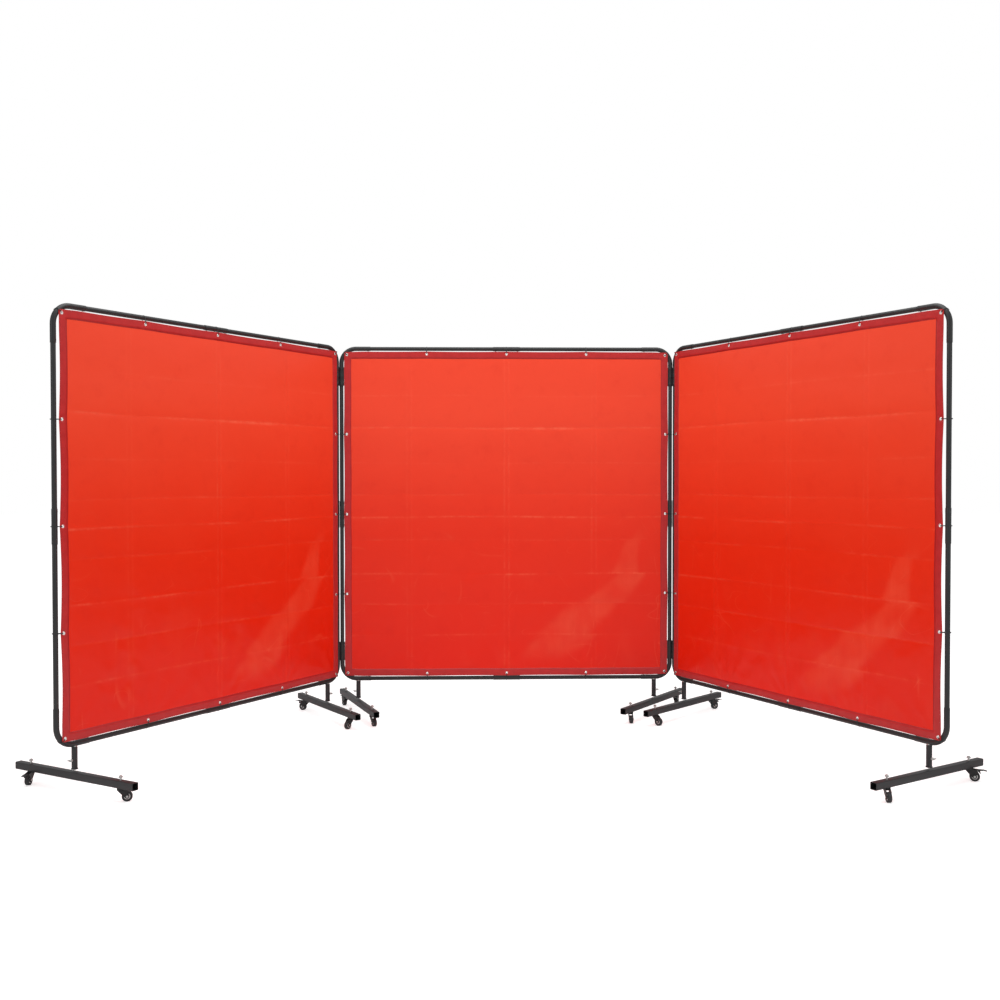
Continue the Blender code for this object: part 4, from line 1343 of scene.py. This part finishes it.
    def rings(self, settings):
        """A thin bright ring let into each face of the hub."""
        half = settings.tread / 2
        section = (
            (0.0121, -0.0003), (0.0121, 0.0008), (0.0113, 0.0012), (0.0090, 0.0012), (0.0082, 0.0008),
            (0.0082, -0.0003),
        )
        ring = turned(section, 40, closed=True)
        return joined(ring.moved(facing((0, 0, way * (half - 0.0030)), (0, 0, way))) for way in (-1, 1))

    def pedal(self, pivot, axle, settings):
        """A foot pedal: hub round its pin, a blade that dips to the rear with a turned lip, and a shoe."""
        angle = math.radians(33)
        shoe = axle + (settings.wheel + 0.0048) * np.array((math.cos(angle), math.sin(angle)))
        hub = arc(pivot, PEDAL_HUB, 75, 255, 10)
        blade = ((0.0103, 0.0), (0.0242, 0.0020), (0.0388, -0.0006), (0.0390, 0.0019), (0.0242, 0.0045))
        path = [pivot + (0.0040, -0.0036), shoe, shoe + (0.0025, 0.0006), *(pivot + step for step in blade)]
        corners = np.vstack([hub, path])
        cuts = np.full(len(corners), 0.0003)
        cuts[len(hub):] = 0.0011
        outline = eased(corners, cuts, 4)
        return plate(outline, settings.tread + 0.0004, 0.0006)


# ----------------------------------------------------------------------------------- the stage
class SCREEN_OT_stage(bpy.types.Operator):
    """Set up the floor, the light and the camera"""

    bl_idname = "screen.stage"
    bl_label = "Stage"

    def execute(self, context):
        scene, settings = context.scene, context.scene.screen_stage
        self.floor(settings)
        self.light(scene, settings)
        self.camera(scene, settings)
        scene.view_settings.view_transform = "Standard"
        return {"FINISHED"}

    def floor(self, settings):
        """A flat disc of 40 m radius, a grid over radius and angle."""
        turn = round_section(1, 96)
        radii = np.array((40.0, 12.0, 4.0, 1.0))[:, None, None]
        rows = np.concatenate([radii * turn[None], np.zeros((4, 96, 1))], -1)
        shape = skin(rows)
        shape.polygons = shape.polygons[1:]
        mesh = bpy.data.meshes.new("floor")
        mesh.from_pydata(shape.points.tolist(), [], shape.quads.tolist() + [shape.polygons[0].tolist()])
        mesh.materials.append(studio_floor(tuple(settings.floor)))
        floor = bpy.data.objects.new("floor", mesh)
        bpy.context.scene.collection.objects.link(floor)

    def light(self, scene, settings):
        """A sky that is white to the camera and, to all else, dims from the zenith to the horizon, with
        large soft boxes above and on both sides in front."""
        world = bpy.data.worlds.new("studio")
        world.use_nodes = True
        scene.world = world
        nodes, links = world.node_tree.nodes, world.node_tree.links
        output = nodes["World Output"]
        back = nodes["Background"]
        soft, mix, ramp, split, place, path = [
            nodes.new("ShaderNode" + kind)
            for kind in ("Background", "MixShader", "ValToRGB", "SeparateXYZ", "TexCoord", "LightPath")
        ]
        back.inputs[0].default_value, back.inputs[1].default_value = (1, 1, 1, 1), 1.0
        soft.inputs[1].default_value = settings.sky
        ramp.color_ramp.elements[0].position, ramp.color_ramp.elements[0].color = 0.0, (0.80, 0.80, 0.80, 1)
        ramp.color_ramp.elements[1].position, ramp.color_ramp.elements[1].color = 0.9, (1, 1, 1, 1)
        links.new(place.outputs["Generated"], split.inputs[0])
        links.new(split.outputs[2], ramp.inputs[0])
        links.new(ramp.outputs[0], soft.inputs[0])
        links.new(path.outputs["Is Camera Ray"], mix.inputs[0])
        links.new(soft.outputs[0], mix.inputs[1])
        links.new(back.outputs[0], mix.inputs[2])
        links.new(mix.outputs[0], output.inputs[0])
        boxes = (
            ("overhead_soft_box", (0, -0.6, 4.6), (0, 0.3, 0), (5.0, 3.2), settings.key),
            ("left_soft_box", (-4.2, -4.2, 2.6), (0.4, 0.3, 1.1), (2.2, 2.2), settings.key * 0.22),
            ("right_soft_box", (4.2, -4.2, 2.6), (-0.4, 0.3, 1.1), (2.2, 2.2), settings.key * 0.20),
        )
        for name, place, target, (wide, tall), power in boxes:
            lamp = bpy.data.lights.new(name, "AREA")
            lamp.shape, lamp.size, lamp.size_y, lamp.energy = "RECTANGLE", wide, tall, power
            obj = bpy.data.objects.new(name, lamp)
            obj.location = place
            obj.rotation_euler = (Vector(target) - Vector(place)).to_track_quat("-Z", "Y").to_euler()
            scene.collection.objects.link(obj)

    def camera(self, scene, settings):
        """A camera at standing height in front of the bay. Its axes come from its pitch, yaw and roll."""
        pitch, yaw, roll = CAMERA_PITCH, CAMERA_YAW, CAMERA_ROLL
        ahead = Vector((math.sin(yaw) * math.cos(pitch), math.cos(yaw) * math.cos(pitch), -math.sin(pitch)))
        right = Vector((math.cos(yaw), -math.sin(yaw), 0))
        up = right.cross(ahead)
        right, up = (
            math.cos(roll) * right + math.sin(roll) * up,
            math.cos(roll) * up - math.sin(roll) * right,
        )
        lens = bpy.data.cameras.new("camera")
        lens.lens, lens.sensor_width = settings.lens, 36.0
        lens.clip_end = 200
        camera = bpy.data.objects.new("camera", lens)
        turn = Matrix((right, up, -ahead)).transposed().to_4x4()
        camera.matrix_world = Matrix.Translation(CAMERA_PLACE) @ turn
        scene.collection.objects.link(camera)
        scene.camera = camera


class SCREEN_PT_build(bpy.types.Panel):
    """Lists the build steps and their settings"""

    bl_idname = "SCREEN_PT_build"
    bl_label = "Welding Curtain Screen"
    bl_space_type = "VIEW_3D"
    bl_region_type = "UI"
    bl_category = "Screen"

    def draw(self, context):
        for step, group in STEPS:
            column = self.layout.column()
            column.operator(step.bl_idname)
            settings = getattr(context.scene, group)
            for key in settings.bl_rna.properties.keys():
                if key not in ("rna_type", "name"):
                    column.prop(settings, key)


STEPS = (
    (SCREEN_OT_tube_frames, "screen_frame"),
    (SCREEN_OT_curtains, "screen_curtain"),
    (SCREEN_OT_clips, "screen_frame"),
    (SCREEN_OT_feet, "screen_foot"),
    (SCREEN_OT_casters, "screen_foot"),
    (SCREEN_OT_stage, "screen_stage"),
)
SETTINGS = {
    "screen_frame": FrameSettings,
    "screen_curtain": CurtainSettings,
    "screen_foot": FootSettings,
    "screen_stage": StageSettings,
}
CLASSES = (*SETTINGS.values(), *(step for step, _ in STEPS), SCREEN_PT_build)


def register():
    for kind in CLASSES:
        bpy.utils.register_class(kind)
    for name, group in SETTINGS.items():
        setattr(bpy.types.Scene, name, bpy.props.PointerProperty(type=group))


def unregister():
    for name in SETTINGS:
        delattr(bpy.types.Scene, name)
    for kind in reversed(CLASSES):
        bpy.utils.unregister_class(kind)


def main():
    register()
    for step, _ in STEPS:
        group, name = step.bl_idname.split(".")
        getattr(getattr(bpy.ops, group), name)()


if __name__ == "__main__":
    main()
